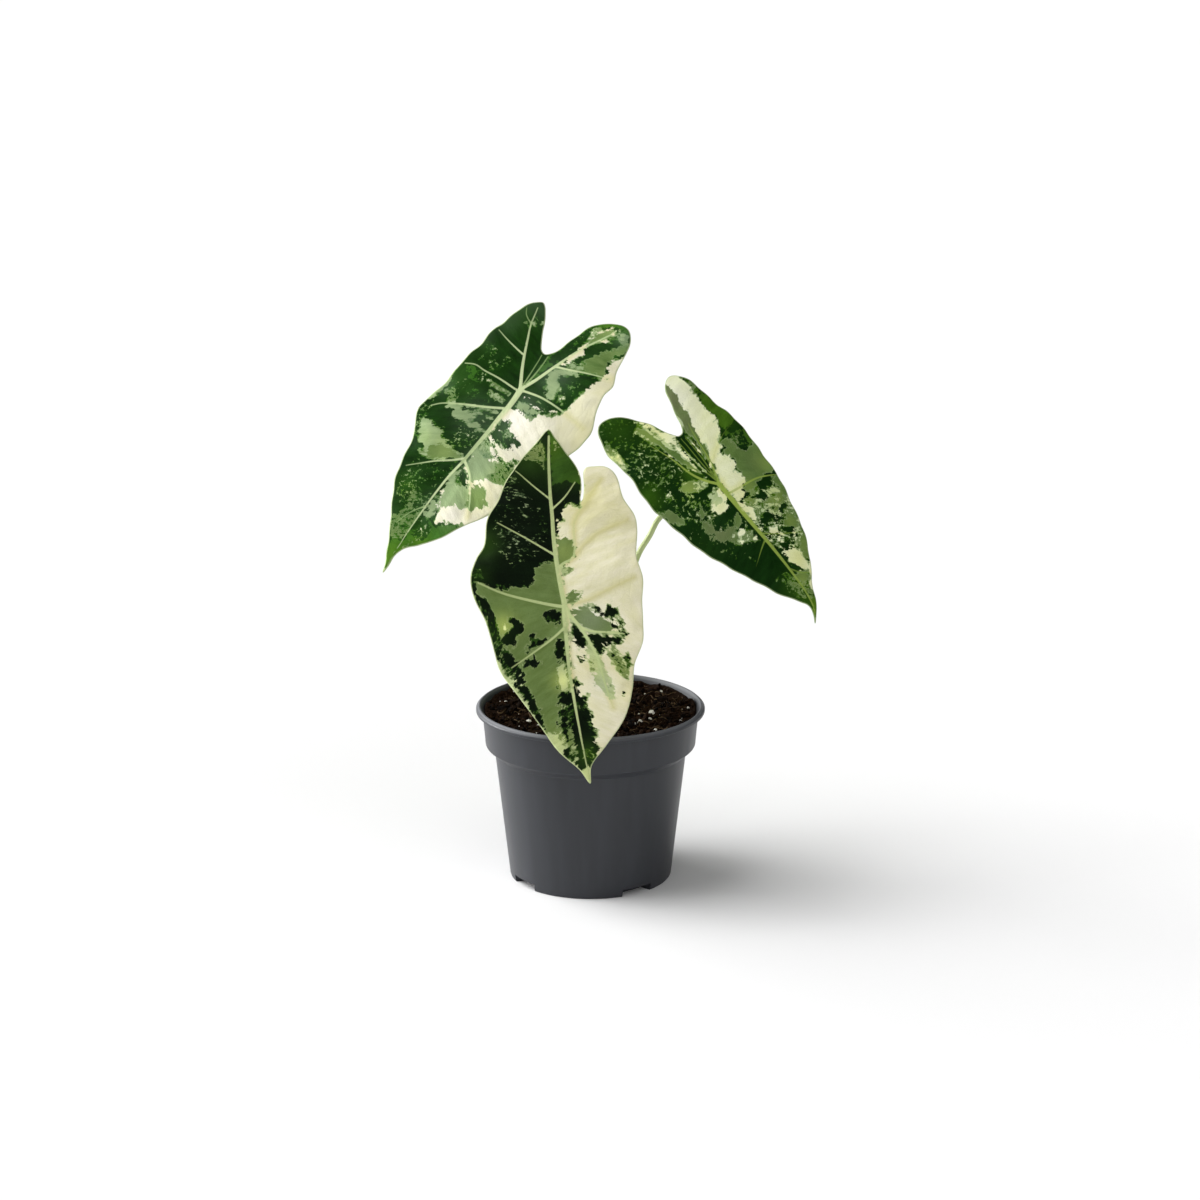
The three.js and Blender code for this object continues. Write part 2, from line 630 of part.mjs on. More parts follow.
function soilGeometry(stalks) {
  const wallInside = (height) => {
    const rise = (height - FLOOR) / (SHOULDER_HEIGHT - FLOOR);
    return FOOT_RADIUS - WALL - GAP + rise * (SHOULDER_RADIUS - FOOT_RADIUS);
  };
  const bandRise = (SOIL_HEIGHT - BAND_FOOT_HEIGHT) / (LIP_FOOT_HEIGHT - BAND_FOOT_HEIGHT);
  const bandInside = BAND_FOOT_RADIUS - WALL - GAP;
  const topRadius = bandInside + bandRise * (BAND_TOP_RADIUS - BAND_FOOT_RADIUS);
  const foot = FLOOR + GAP;
  const profile = [
    [0, foot],
    [wallInside(foot), foot],
    [wallInside(SHOULDER_HEIGHT), SHOULDER_HEIGHT + WALL],
    [bandInside, BAND_FOOT_HEIGHT + WALL],
  ];
  for (let ring = SOIL_RINGS; ring >= 0; ring -= 1) {
    profile.push([(topRadius * ring) / SOIL_RINGS, SOIL_HEIGHT]);
  }
  const body = turned(profile, ROUND);
  const position = body.attributes.position;
  for (let i = 0; i < position.count; i += 1) {
    if (position.getZ(i) < SOIL_HEIGHT - 1) continue;
    position.setZ(i, SOIL_HEIGHT + lump(position.getX(i), position.getY(i)));
  }
  let soil = solid(body).subtract(crownBody(GAP));
  for (const stalk of stalks) soil = soil.subtract(solid(stalkGeometry(stalk, GAP)));
  for (const angle of notchAngles) {
    const half = NOTCH_HALF_ANGLE + 2 * NOTCH_WALL_ANGLE;
    const inner = NOTCH_INNER_RADIUS - WALL - GAP;
    soil = soil.subtract(solid(sector(inner, LIP_RADIUS, 0, NOTCH_HEIGHT + WALL + GAP, angle, half)));
  }
  return geometryOf(soil);
}

function crownGeometry(stalks) {
  let crown = crownBody(0);
  for (const stalk of stalks) crown = crown.subtract(solid(stalkGeometry(stalk, GAP)));
  return geometryOf(crown);
}

// ---------------------------------------------------------------- materials and scene graph

const finish = (color, roughness) => new THREE.MeshStandardMaterial({ color, roughness, metalness: 0 });
const potPlastic = finish(0x56585c, 0.5);
const pottingSoil = finish(0x2b1f17, 0.95);
const crownSkin = finish(0x8f9a5b, 0.7);
const stalkSkin = finish(0xa9bd7c, 0.5);
const bladeSkin = finish(0x2f5a2c, 0.6);

const stalks = [leftStalk, frontStalk, rightStalk];
const plant = new THREE.Group();
plant.add(named("pot", potGeometry(), potPlastic));
plant.add(named("soil", soilGeometry(stalks), pottingSoil));
plant.add(named("crown", crownGeometry(stalks), crownSkin));
plant.add(named("petiole_left", stalkGeometry(leftStalk, 0), stalkSkin));
plant.add(named("petiole_front", stalkGeometry(frontStalk, 0), stalkSkin));
plant.add(named("petiole_right", stalkGeometry(rightStalk, 0), stalkSkin));
plant.add(named("blade_left", bladeGeometry(leftBlade), bladeSkin));
plant.add(named("blade_front", bladeGeometry(frontBlade), bladeSkin));
plant.add(named("blade_right", bladeGeometry(rightBlade), bladeSkin));

export default plant;
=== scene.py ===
# The looks of a variegated Alocasia frydek with three leaves, in a round plastic nursery pot.
# Sizes are in millimetres until a mesh is made, which is in metres like the frame.
#
# A blade is drawn flat first, in two coordinates: `across`, to the blade's side, and `along`, from the
# stalk's joint towards the tip (the two rear lobes lie at negative values). Its outline, its veins and
# its patches of colour are all given there, and one formula bends, folds and waves them into place.

import math

import bmesh
import bpy
import numpy as np
from mathutils import Matrix, Vector, geometry, noise


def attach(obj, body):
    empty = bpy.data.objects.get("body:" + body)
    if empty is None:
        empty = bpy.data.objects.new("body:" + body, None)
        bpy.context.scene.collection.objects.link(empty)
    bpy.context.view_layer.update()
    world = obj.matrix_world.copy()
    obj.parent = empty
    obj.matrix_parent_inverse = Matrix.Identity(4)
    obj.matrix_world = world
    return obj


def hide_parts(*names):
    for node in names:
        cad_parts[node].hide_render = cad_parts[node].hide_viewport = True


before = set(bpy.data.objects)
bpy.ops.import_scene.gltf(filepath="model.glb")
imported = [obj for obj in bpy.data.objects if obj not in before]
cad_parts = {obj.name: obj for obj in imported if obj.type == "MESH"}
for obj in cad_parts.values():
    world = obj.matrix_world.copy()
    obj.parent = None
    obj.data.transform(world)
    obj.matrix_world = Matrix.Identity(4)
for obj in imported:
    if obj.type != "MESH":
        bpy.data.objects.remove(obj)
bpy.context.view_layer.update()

MM = 0.001
draw = np.random.default_rng(11)  # every chance in this file comes from here, in the order of the code

# ---------------------------------------------------------------- pot, soil and crown, in millimetres

POT_SIDES = 192
POT_HEIGHT = 93.2  # crest of the lip
LIP_CREST_RADIUS = 58.8
LIP_INNER_RADIUS = 58.1
LIP_GROOVE = (59.5, 92.4)  # a shallow groove between the lip's crest and its edge
LIP_RADIUS = 60.2
LIP_EDGE_HEIGHT = 92
LIP_FOOT_HEIGHT = 90.2
BAND_TOP_RADIUS = 56.9
BAND_FOOT_RADIUS = 55.3
BAND_FOOT_HEIGHT = 72.3
SHOULDER_RADIUS = 50.5
SHOULDER_HEIGHT = 68.4
FOOT_RADIUS = 42.8
WALL = 1.2
FLOOR = 1.6
NOTCH_ANGLES = [35, 125, 215, 305]
NOTCH_HALF_ANGLE = 12
NOTCH_HEIGHT = 4
NOTCH_INNER_RADIUS = 36
DRAIN_RADIUS = 2.2

SOIL_HEIGHT = 89.5
SOIL_TOP_RADIUS = 55.6
SOIL_CLIMB = 1.5  # how far the soil is pushed up against the wall
CRUMB_COUNT = 2600
CHIP_COUNT = 70
SMALL_GRAIN_COUNT = 90
FIBRE_COUNT = 240
CROWN_CENTRE = (1, 4)
CROWN_RADIUS = 11
CROWN_TOP = 94.5

# ---------------------------------------------------------------- blades

BLADE_THICKNESS = 0.7
RIM_THICKNESS = 0.26
VALLEY_RADIUS = 5  # of the rounded fold along the midrib
PUFF = 0.8  # how far the skin swells up between the veins
PUFF_REACH = 11  # how far from a vein or the rim it is fully swollen
JOINT_SWELL = 1.0  # the thickening under the stalk's joint
JOINT_SWELL_RADIUS = 4.5
# spacing of the mesh's points along the rim, along the veins and over the skin
RIM_STEP = 1.0
VEIN_STEP = 0.6
SKIN_STEP = 0.85
FIELD_LIMIT = 5  # how far from its border a patch of colour is still measured
SOFT_FIELDS = ["glow", "gold", "ash_and_sheen"]  # from night to green, towards golden hues, towards ashen hues, which on the dark ground are a painted sheen

# veins: half width of the raised rib, its height under the blade and on top, and how pale it shows
MIDRIB = {"half": 1.5, "under": 1.3, "over": 0.35, "share": 1.0}
SIDE_VEIN = {"half": 1.1, "under": 0.7, "over": 0.25, "share": 0.9}
FINE_VEIN = {"half": 0.8, "under": 0.4, "over": 0.15, "share": 0.45}

# The inks of a blade. A plain ink is one of five tones, from the darkest to the palest; a smooth one has
# a cleaner border. A torn ink is broken into flecks: it gives how far, in mm, each paler tone's border
# lies inside (+) or outside (-), and how far the border frays.
TONES = ["night", "green", "sage", "silver", "cream"]
PLAIN_FRAY = 0.75
SMOOTH_FRAY = 0.2
TEAR = 4.6  # how far, in mm, the strongest noise would move a border
FLECK_TEAR = 8.0  # the same inside a torn ink
NIGHT_SHEEN = 0.38  # how much of its ashen hue the dark ground takes on: a painted sheen, the grey haze where light grazes the velvet
TORN = {
    "mist": (0, -2.2, -4, -5, 1.2),
    "flecks": (-1.5, -1.7, -2.8, -5, 1.4),
    "speckled": (-0.6, -1.2, -2.6, -4, 1.4),
    "mosaic": (-0.9, -1.1, -1.7, -3.4, 1.6),
    "snow": (-0.6, -0.9, -1.3, -2.0, 1.5),
    "torn sage": (0.9, 0.4, -1.6, -4, 1.3),
    "torn silver": (1.6, 1.0, 0.3, -2.2, 1.3),
    "torn cream": (0.4, 0.2, 0.1, 0.0, 1.5),
    "smeared": (4, 1.8, 0.6, -0.8, 1.3),
    "grained": (1.6, -0.8, -2.4, -5, 1.2),
}

# Each patch is an ink and its outline on the flat blade, and covers the patches before it.
left_patches = [
    # left lobe: a chain of flecks, a few spots along its rib
    ("flecks", [(-33, -13), (-20, -12), (-11, -13), (-11, -9), (-16, 0), (-33, 1)]),
    ("snow", [(-28, -13), (-25.4, -13), (-22.6, -8), (-19, -4), (-18, 1), (-21, 1), (-24, -6), (-28, -9)]),
    ("torn sage", [(-23, -34), (-20, -33.5), (-19.6, -31), (-22.4, -30.4)]),
    ("silver", [(-18.8, -37), (-17, -36.6), (-16, -32), (-17, -30), (-18.6, -33)]),
    ("silver", [(-15.6, -39.4), (-13.4, -38.4), (-14.6, -35.2)]),
    # between the first two side veins on the left
    ("mist", [(-33, 3), (-19, 3), (-18, 10), (-30, 11)]),
    ("snow", [(-24, 3.4), (-15, 3.6), (-14, 8), (-22, 9)]),
    ("torn silver", [(-16, 4.4), (-2, 4), (-2, 7.6), (-8, 7.4), (-15, 8)]),
    ("torn silver", [(-14, 8.8), (-6, 8), (-1.5, 9), (-1.5, 12.4), (-7, 13), (-13, 12.8)]),
    ("flecks", [(-30, 10), (-14, 13), (-4, 13.4), (-10, 18), (-20, 22), (-32, 18)]),
    ("torn sage", [(-35, 19), (-30, 17.4), (-27.6, 20.4), (-25.4, 19.4), (-25, 24), (-21.6, 26.4),
                   (-24, 28.8), (-30, 28), (-31.4, 24), (-35, 23.6)]),
    ("silver", [(-41, 5), (-36, 8), (-35, 14), (-36, 24), (-37.4, 30), (-42, 33)]),
    # between the second and the third: streaks, dark ground, snow beside the midrib, a pale field
    ("silver", [(-29, 26), (-20, 23), (-12, 19.6), (-2, 15.6), (-2, 18), (-8, 20.4), (-11, 22.4),
                (-2, 21.6), (-2, 25), (-10, 26.4), (-12, 28.6), (-5, 28), (-2, 28.6), (-3, 31.4), (-12, 33),
                (-14, 31), (-19, 32.8), (-22, 31.4), (-23, 29), (-27, 30), (-29, 28.8)]),
    ("night", [(-20.4, 24.6), (-14, 21.8), (-8.4, 20.6), (-11, 23), (-18, 26)]),
    ("night", [(-12, 25), (-7, 22.6), (-2.4, 22.6), (-3, 24.6), (-8, 26), (-11, 26.8)]),
    ("night", [(-9, 27.8), (-5, 26.6), (-2, 26.8), (-4, 28.4)]),
    ("snow", [(-15, 32.6), (-2, 31), (-2.6, 42), (-8, 44), (-15, 42)]),
    ("silver", [(-36, 38), (-32, 40), (-29, 39.6), (-27, 41), (-21, 40.6), (-20, 43.6), (-14, 44.6),
                (-9, 46), (-3, 45.6), (-3, 49), (-8, 51), (-14, 55.6), (-20, 60), (-26.4, 58.8),
                (-27.4, 56), (-24, 55), (-25, 52.6), (-30, 52.6), (-32.4, 48), (-35.4, 43)]),
    ("sage", [(-22, 51.4), (-16, 47.6), (-9, 47), (-4, 47), (-4, 49.4), (-10, 51.4), (-16, 55.6),
              (-19, 56.6)]),
    ("snow", [(-36, 28), (-33.6, 33), (-35, 40), (-32.6, 50), (-33.6, 56), (-39, 46), (-41, 36)]),
    # lower left: a speckled field, golden grains, and the mixed tip
    ("flecks", [(-27, 58), (-16, 57), (-6, 55), (-6, 76), (-14, 78), (-27, 72)]),
    ("snow", [(-23, 62), (-19, 61.6), (-18, 66), (-22, 67)]),
    ("mosaic", [(-28, 66), (-17, 69), (-10, 77), (-13, 86), (-25, 84)]),
    ("torn sage", [(-17, 76), (-6, 75), (-6.5, 90), (-8, 100), (-12, 106), (-19, 98), (-21, 92),
                   (-16, 86)]),
    ("mosaic", [(-13, 75), (-6, 75), (-6, 83), (-12, 85)]),
    ("green", [(-14, 101), (-8.4, 102), (-7, 124), (-12, 124)]),
    # the cream half, then what lies on it: the right lobe first
    ("cream", [(0, 12), (4, 11), (16, 10.5), (19, 7), (26, 3), (28, 0), (30, -8), (31, -14), (34, -20),
               (33, -23), (36, -28), (32, -35), (31, -40), (34, -43), (38, -46), (44, -38), (48, -25),
               (54, 0), (54, 14), (46, 35), (42, 50), (36, 62), (27, 74), (18, 80), (12, 80), (6, 83),
               (3, 84), (0, 77), (-3, 74), (-3, 66), (0, 60)]),
    ("green", [(1, -26), (7, -48), (12, -56), (24, -62), (33, -58), (30, -54), (22, -56.5), (14, -53),
               (9, -44), (8.4, -33), (7, -24), (4, -12), (1.5, -6)]),
    ("speckled", [(3, -30), (8, -50), (12, -53), (11, -46), (9, -36), (8, -24), (3.4, -24)]),
    ("night", [(4.5, -37), (8, -39), (9.2, -33), (8, -26), (5, -20), (2.4, -20), (2, -28)]),
    ("cream", [(9, -22), (11, -28), (12, -33), (11.5, -38), (13, -43), (10.6, -48), (12, -50.6),
               (16, -52.6), (20, -55.6), (23.4, -54), (24.6, -51), (22, -48), (24, -46.5), (21, -44),
               (16, -40), (15, -36), (17, -33.5), (17, -30), (15, -27), (13, -23), (10, -21)]),
    ("sage", [(15, -43), (15.4, -48), (20.4, -54.6), (20, -48), (17, -43.4)]),
    ("smeared", [(10.4, -50), (14, -51.6), (14.6, -45), (12.4, -42)]),
    ("sage", [(24.6, -55.6), (31, -54.6), (35, -49), (36, -44), (32, -42), (31, -37), (33, -33),
              (35.5, -28), (33, -26), (24, -24.6), (15, -22.4), (14.6, -26.4), (18, -27.4), (21, -33),
              (22, -38), (25, -42), (29, -46), (30, -49), (25.4, -51)]),
    ("torn silver", [(14, -23), (16, -28), (20, -30), (24, -26), (20, -23.4)]),
    ("silver", [(24, -55), (29, -54.6), (30, -51.4), (26, -50.8)]),
    ("night", [(22.5, -48.4), (26, -50.2), (29.4, -48.6), (29, -46.4), (25, -46.4)]),
    ("night", [(15.4, -37.4), (15.6, -40.2), (18, -42.4), (23, -43.2), (27, -46.6), (29, -46),
               (25.6, -42.6), (24.2, -40), (24, -37.6), (21, -37), (19, -34.4), (16.5, -34.8)]),
    ("night", [(15, -25.6), (16, -31), (18, -34.2), (21, -34), (19.2, -29), (17, -26)]),
    ("night", [(14, -16), (24, -20.6), (25.2, -24), (30, -26.8), (31, -21), (34, -20), (31, -15), (29, -12),
               (29.5, -6), (28, -2), (20, -2.6), (18.6, -6), (20, -11), (16.4, -12.4)]),
    ("flecks", [(17, -14), (28, -20), (30, -17), (27, -4), (20, -4), (20, -11)]),
    ("cream", [(18.8, -11), (20.6, -11.4), (20.8, -9.2), (19, -9)]),
    ("torn cream", [(21.6, -7), (25, -8), (25.4, -3), (22, -3)]),
    ("silver", [(8, -19.6), (16, -22.4), (24.4, -24), (23.6, -20.4), (14.6, -17), (16, -13.6), (19, -10),
                (20.4, -7), (19.4, -3), (15, -2.6), (13.2, -6), (9, -11), (7.2, -14)]),
    ("night", [(4.6, -7), (9, -10.4), (13, -6.4), (14.4, -3), (10, -1.6), (4.6, -1.4)]),
    ("torn cream", [(4, 2), (12, 0.8), (27, 0.4), (25, 3.4), (20, 5), (14, 6.4), (10, 5), (5, 5.4)]),
    ("night", [(4, 2), (10, 1), (20, 0.8), (24, 1.2), (20, 3.6), (14, 4.8), (6, 5)]),
    ("silver", [(3, 6), (10, 5.4), (14, 6.4), (20, 4.8), (18.6, 7), (16, 10), (10, 10.4), (4, 10)]),
    # dark islands beside the midrib
    ("torn cream", [(2.4, 19.4), (7, 18.6), (11, 22.6), (16, 23), (21, 26), (17, 29), (18, 31.6), (12, 32),
                    (4, 31.6), (2.4, 26)]),
    ("night", [(2.6, 19.8), (6, 19), (8.6, 20.4), (8, 23), (10, 26), (12, 27.6), (15, 25), (17.4, 24.6),
               (20.6, 26.4), (20, 27.8), (16, 28.6), (17, 31), (12, 31.2), (8, 30.2), (4, 31.4),
               (2.6, 27)]),
    ("torn cream", [(4, 24.4), (7, 23.4), (8, 25), (5, 26.4)]),
    ("torn cream", [(3, 31.6), (9, 33), (14, 36), (20, 38), (22, 33.4), (26, 33), (25.4, 39), (20, 41),
                    (13, 39), (8, 35), (3, 33.8)]),
    ("torn silver", [(0, 31), (3, 33), (8, 36.4), (13, 39.8), (8, 42), (-2, 44)]),
    ("silver", [(-2, 40), (4, 40), (9, 40.6), (14, 42), (17, 44), (15, 48), (14, 51), (9, 55), (6, 54),
                (2, 48)]),
    ("torn sage", [(14, 40.4), (26, 39), (29, 48), (20, 50.4), (14, 49), (18, 45)]),
    ("silver", [(-5, 55), (0, 54), (9, 58.6), (12, 62), (14, 68), (11, 69.6), (8, 68), (6, 72), (3, 73.4),
                (0, 71), (-3, 67)]),
    ("night", [(0.6, 52), (4, 53.6), (8.4, 59.8), (4, 59), (2, 60.6), (0, 57)]),
    ("sage", [(10.6, 54.6), (15, 55), (19, 57), (21, 60), (24, 61.6), (22, 65), (19, 65.4), (18, 68),
              (14, 67), (12, 62), (12.6, 59)]),
    ("silver", [(-5, 72), (-2, 73), (0, 77), (1, 81), (-2, 85), (-5, 84)]),
    ("green", [(19, 77), (12, 80), (10, 81), (6, 84.5), (3, 85), (-2, 83.5), (-5, 85), (-7, 98), (-9, 108),
               (-4, 107), (2, 102), (12, 91)]),
    ("snow", [(-5.4, 85), (-2, 84.6), (4, 88), (3, 95), (-1, 98), (-5, 96)]),
    ("grained", [(-6, 97), (-1, 98), (-3, 104), (-8, 108)]),
]

# The blade stands at its joint, turned by three angles in degrees. `bend` is its curvature along its
# length, `fold` the angle in degrees that its sides rise at, and `curl` and `wave` act across them.
left_blade = {
    "joint": (-36.7, 39, 253.9),
    "tilt": 38, "yaw": -14, "spin": -28.8,
    "bend_tip": 0.0038, "bend_lobe": 0.003, "fold_tip": 9, "fold_lobe": 12,
    "curl": 0.0026, "wave": 1.5, "wave_length": 36, "wave_start": (-6, 8),
    "outline": [
        (-22.8, -47.8), (-27, -43), (-29.4, -36), (-31, -26), (-34, -20), (-34, -10), (-35, 1), (-37.4, 17),
        (-40, 32), (-39.4, 40), (-34.6, 51), (-33.3, 59), (-30, 72), (-24.4, 87), (-17, 101), (-12, 113),
        (-9.5, 121), (-7.8, 110), (-5, 104), (0.6, 99), (10.6, 89), (16.7, 80), (25, 69), (31, 61),
        (36, 52), (41, 42), (46, 22), (48.7, 9), (48.3, 1), (44, -11), (42.8, -18), (42.6, -26), (37, -37),
        (36, -45), (33.3, -53), (28, -58), (23, -59.2), (16, -57), (10.6, -53), (7, -48), (4.4, -37),
        (1.4, -27), (-1.8, -23.4), (-5, -24.6), (-10.6, -33), (-14, -39), (-19.4, -46),
    ],
    # kind of vein, its pale half width at the start and at the end, and its path
    "veins": [
        (MIDRIB, 1.7, 0.75, [(0.6, 0), (1.2, 10), (0.7, 20), (0.1, 30), (-2.1, 50)]),
        (MIDRIB, 0.7, 0.0, [(-2.1, 50), (-4.1, 60), (-5.3, 70), (-7.4, 92), (-9.5, 117)]),
        (MIDRIB, 0.9, 0.2, [(0, 0), (-7, -11), (-15, -26), (-18, -32), (-22, -43)]),
        (MIDRIB, 1.0, 0.4, [(0.4, 0), (4, -8), (8, -20), (14, -37), (22, -52)]),
        (SIDE_VEIN, 0.45, 0.15, [(-11, -16.5), (-17, -17.5), (-24, -19), (-31, -21)]),
        (SIDE_VEIN, 0.5, 0.25, [(-0.6, 1.7), (-13, 1.6), (-22, 2.4), (-28, 2.4), (-33.5, 4.6)]),
        (SIDE_VEIN, 0.65, 0.3, [(-1, 14), (-10.6, 19), (-22, 24), (-31, 29), (-35, 33)]),
        (SIDE_VEIN, 0.55, 0.15, [(-2, 47), (-7, 51), (-16, 57), (-28, 66.5)]),
        (SIDE_VEIN, 0.6, 0.3, [(8, -20), (16, -22), (25, -24.6), (39, -29)]),
        (SIDE_VEIN, 0.6, 0.3, [(0.6, 0.6), (6, -0.4), (14, -1.4), (28, -1), (43, 1)]),
        (SIDE_VEIN, 0.7, 0.25, [(-1.6, 48), (5.6, 53), (14, 64), (18, 72)]),
        (FINE_VEIN, 0.4, 0.15, [(-5.6, 78), (-12, 86), (-16, 94)]),
        (FINE_VEIN, 0.35, 0.2, [(0, -2), (-1.2, -12), (-2.6, -22)]),
        (FINE_VEIN, 0.5, 0.3, [(1, -3), (1.4, -12), (0.8, -23)]),
        (FINE_VEIN, 0.3, 0.15, [(-18.5, -33), (-24, -36), (-27, -40)]),
    ],
    "base": "night",
    "patches": left_patches,
    # soft spots: (across, along, radius, strength)
    "glow": [(-31, -8, 7, 0.3), (-33, 12, 9, 0.6), (-27, -35, 12, 0.35), (-26, 15, 8, 0.4),
             (-22, 74, 6, 0.8), (-14, 78, 8, 0.3), (-12, 95, 12, 0.35), (0, 95, 9, 0.6), (14, 84, 7, 0.6),
             (-10, 110, 10, 1.0), (20, -58, 12, 0.5)],
    "gold": [(-21, 77, 5, 0.9), (-10, 112, 10, 0.7), (46, 5, 12, 0.5), (44, -25, 12, 0.45),
             (38, 42, 10, 0.4), (18, -52, 6, 0.6), (18, 60, 9, 0.5), (21, 44, 7, 0.45), (1, 97, 6, 0.6),
             (14, 78, 8, 0.4), (-32, 22, 6, 0.2), (-14, 48, 8, 0.7), (-26, 49, 6, 0.3)],
    # ashen spots; those on the left lobe's dark margin are a painted sheen of grazing light
    "ash_and_sheen": [(6, 46, 9, 1.0), (-3, 77, 8, 0.5), (10, 76, 8, 0.7), (12, -15, 9, 0.8), (10, 8, 9, 0.9),
            (10, 17, 14, 0.8), (24, 20, 12, 0.5), (-8, 26, 12, 0.6), (-30, -44, 10, 0.9),
            (-31, -31, 8, 0.7), (-20, -44, 8, 0.6), (-36, -14, 5, 0.5), (-37, 20, 5, 0.8),
            (29, -52, 5, 0.7)],
}

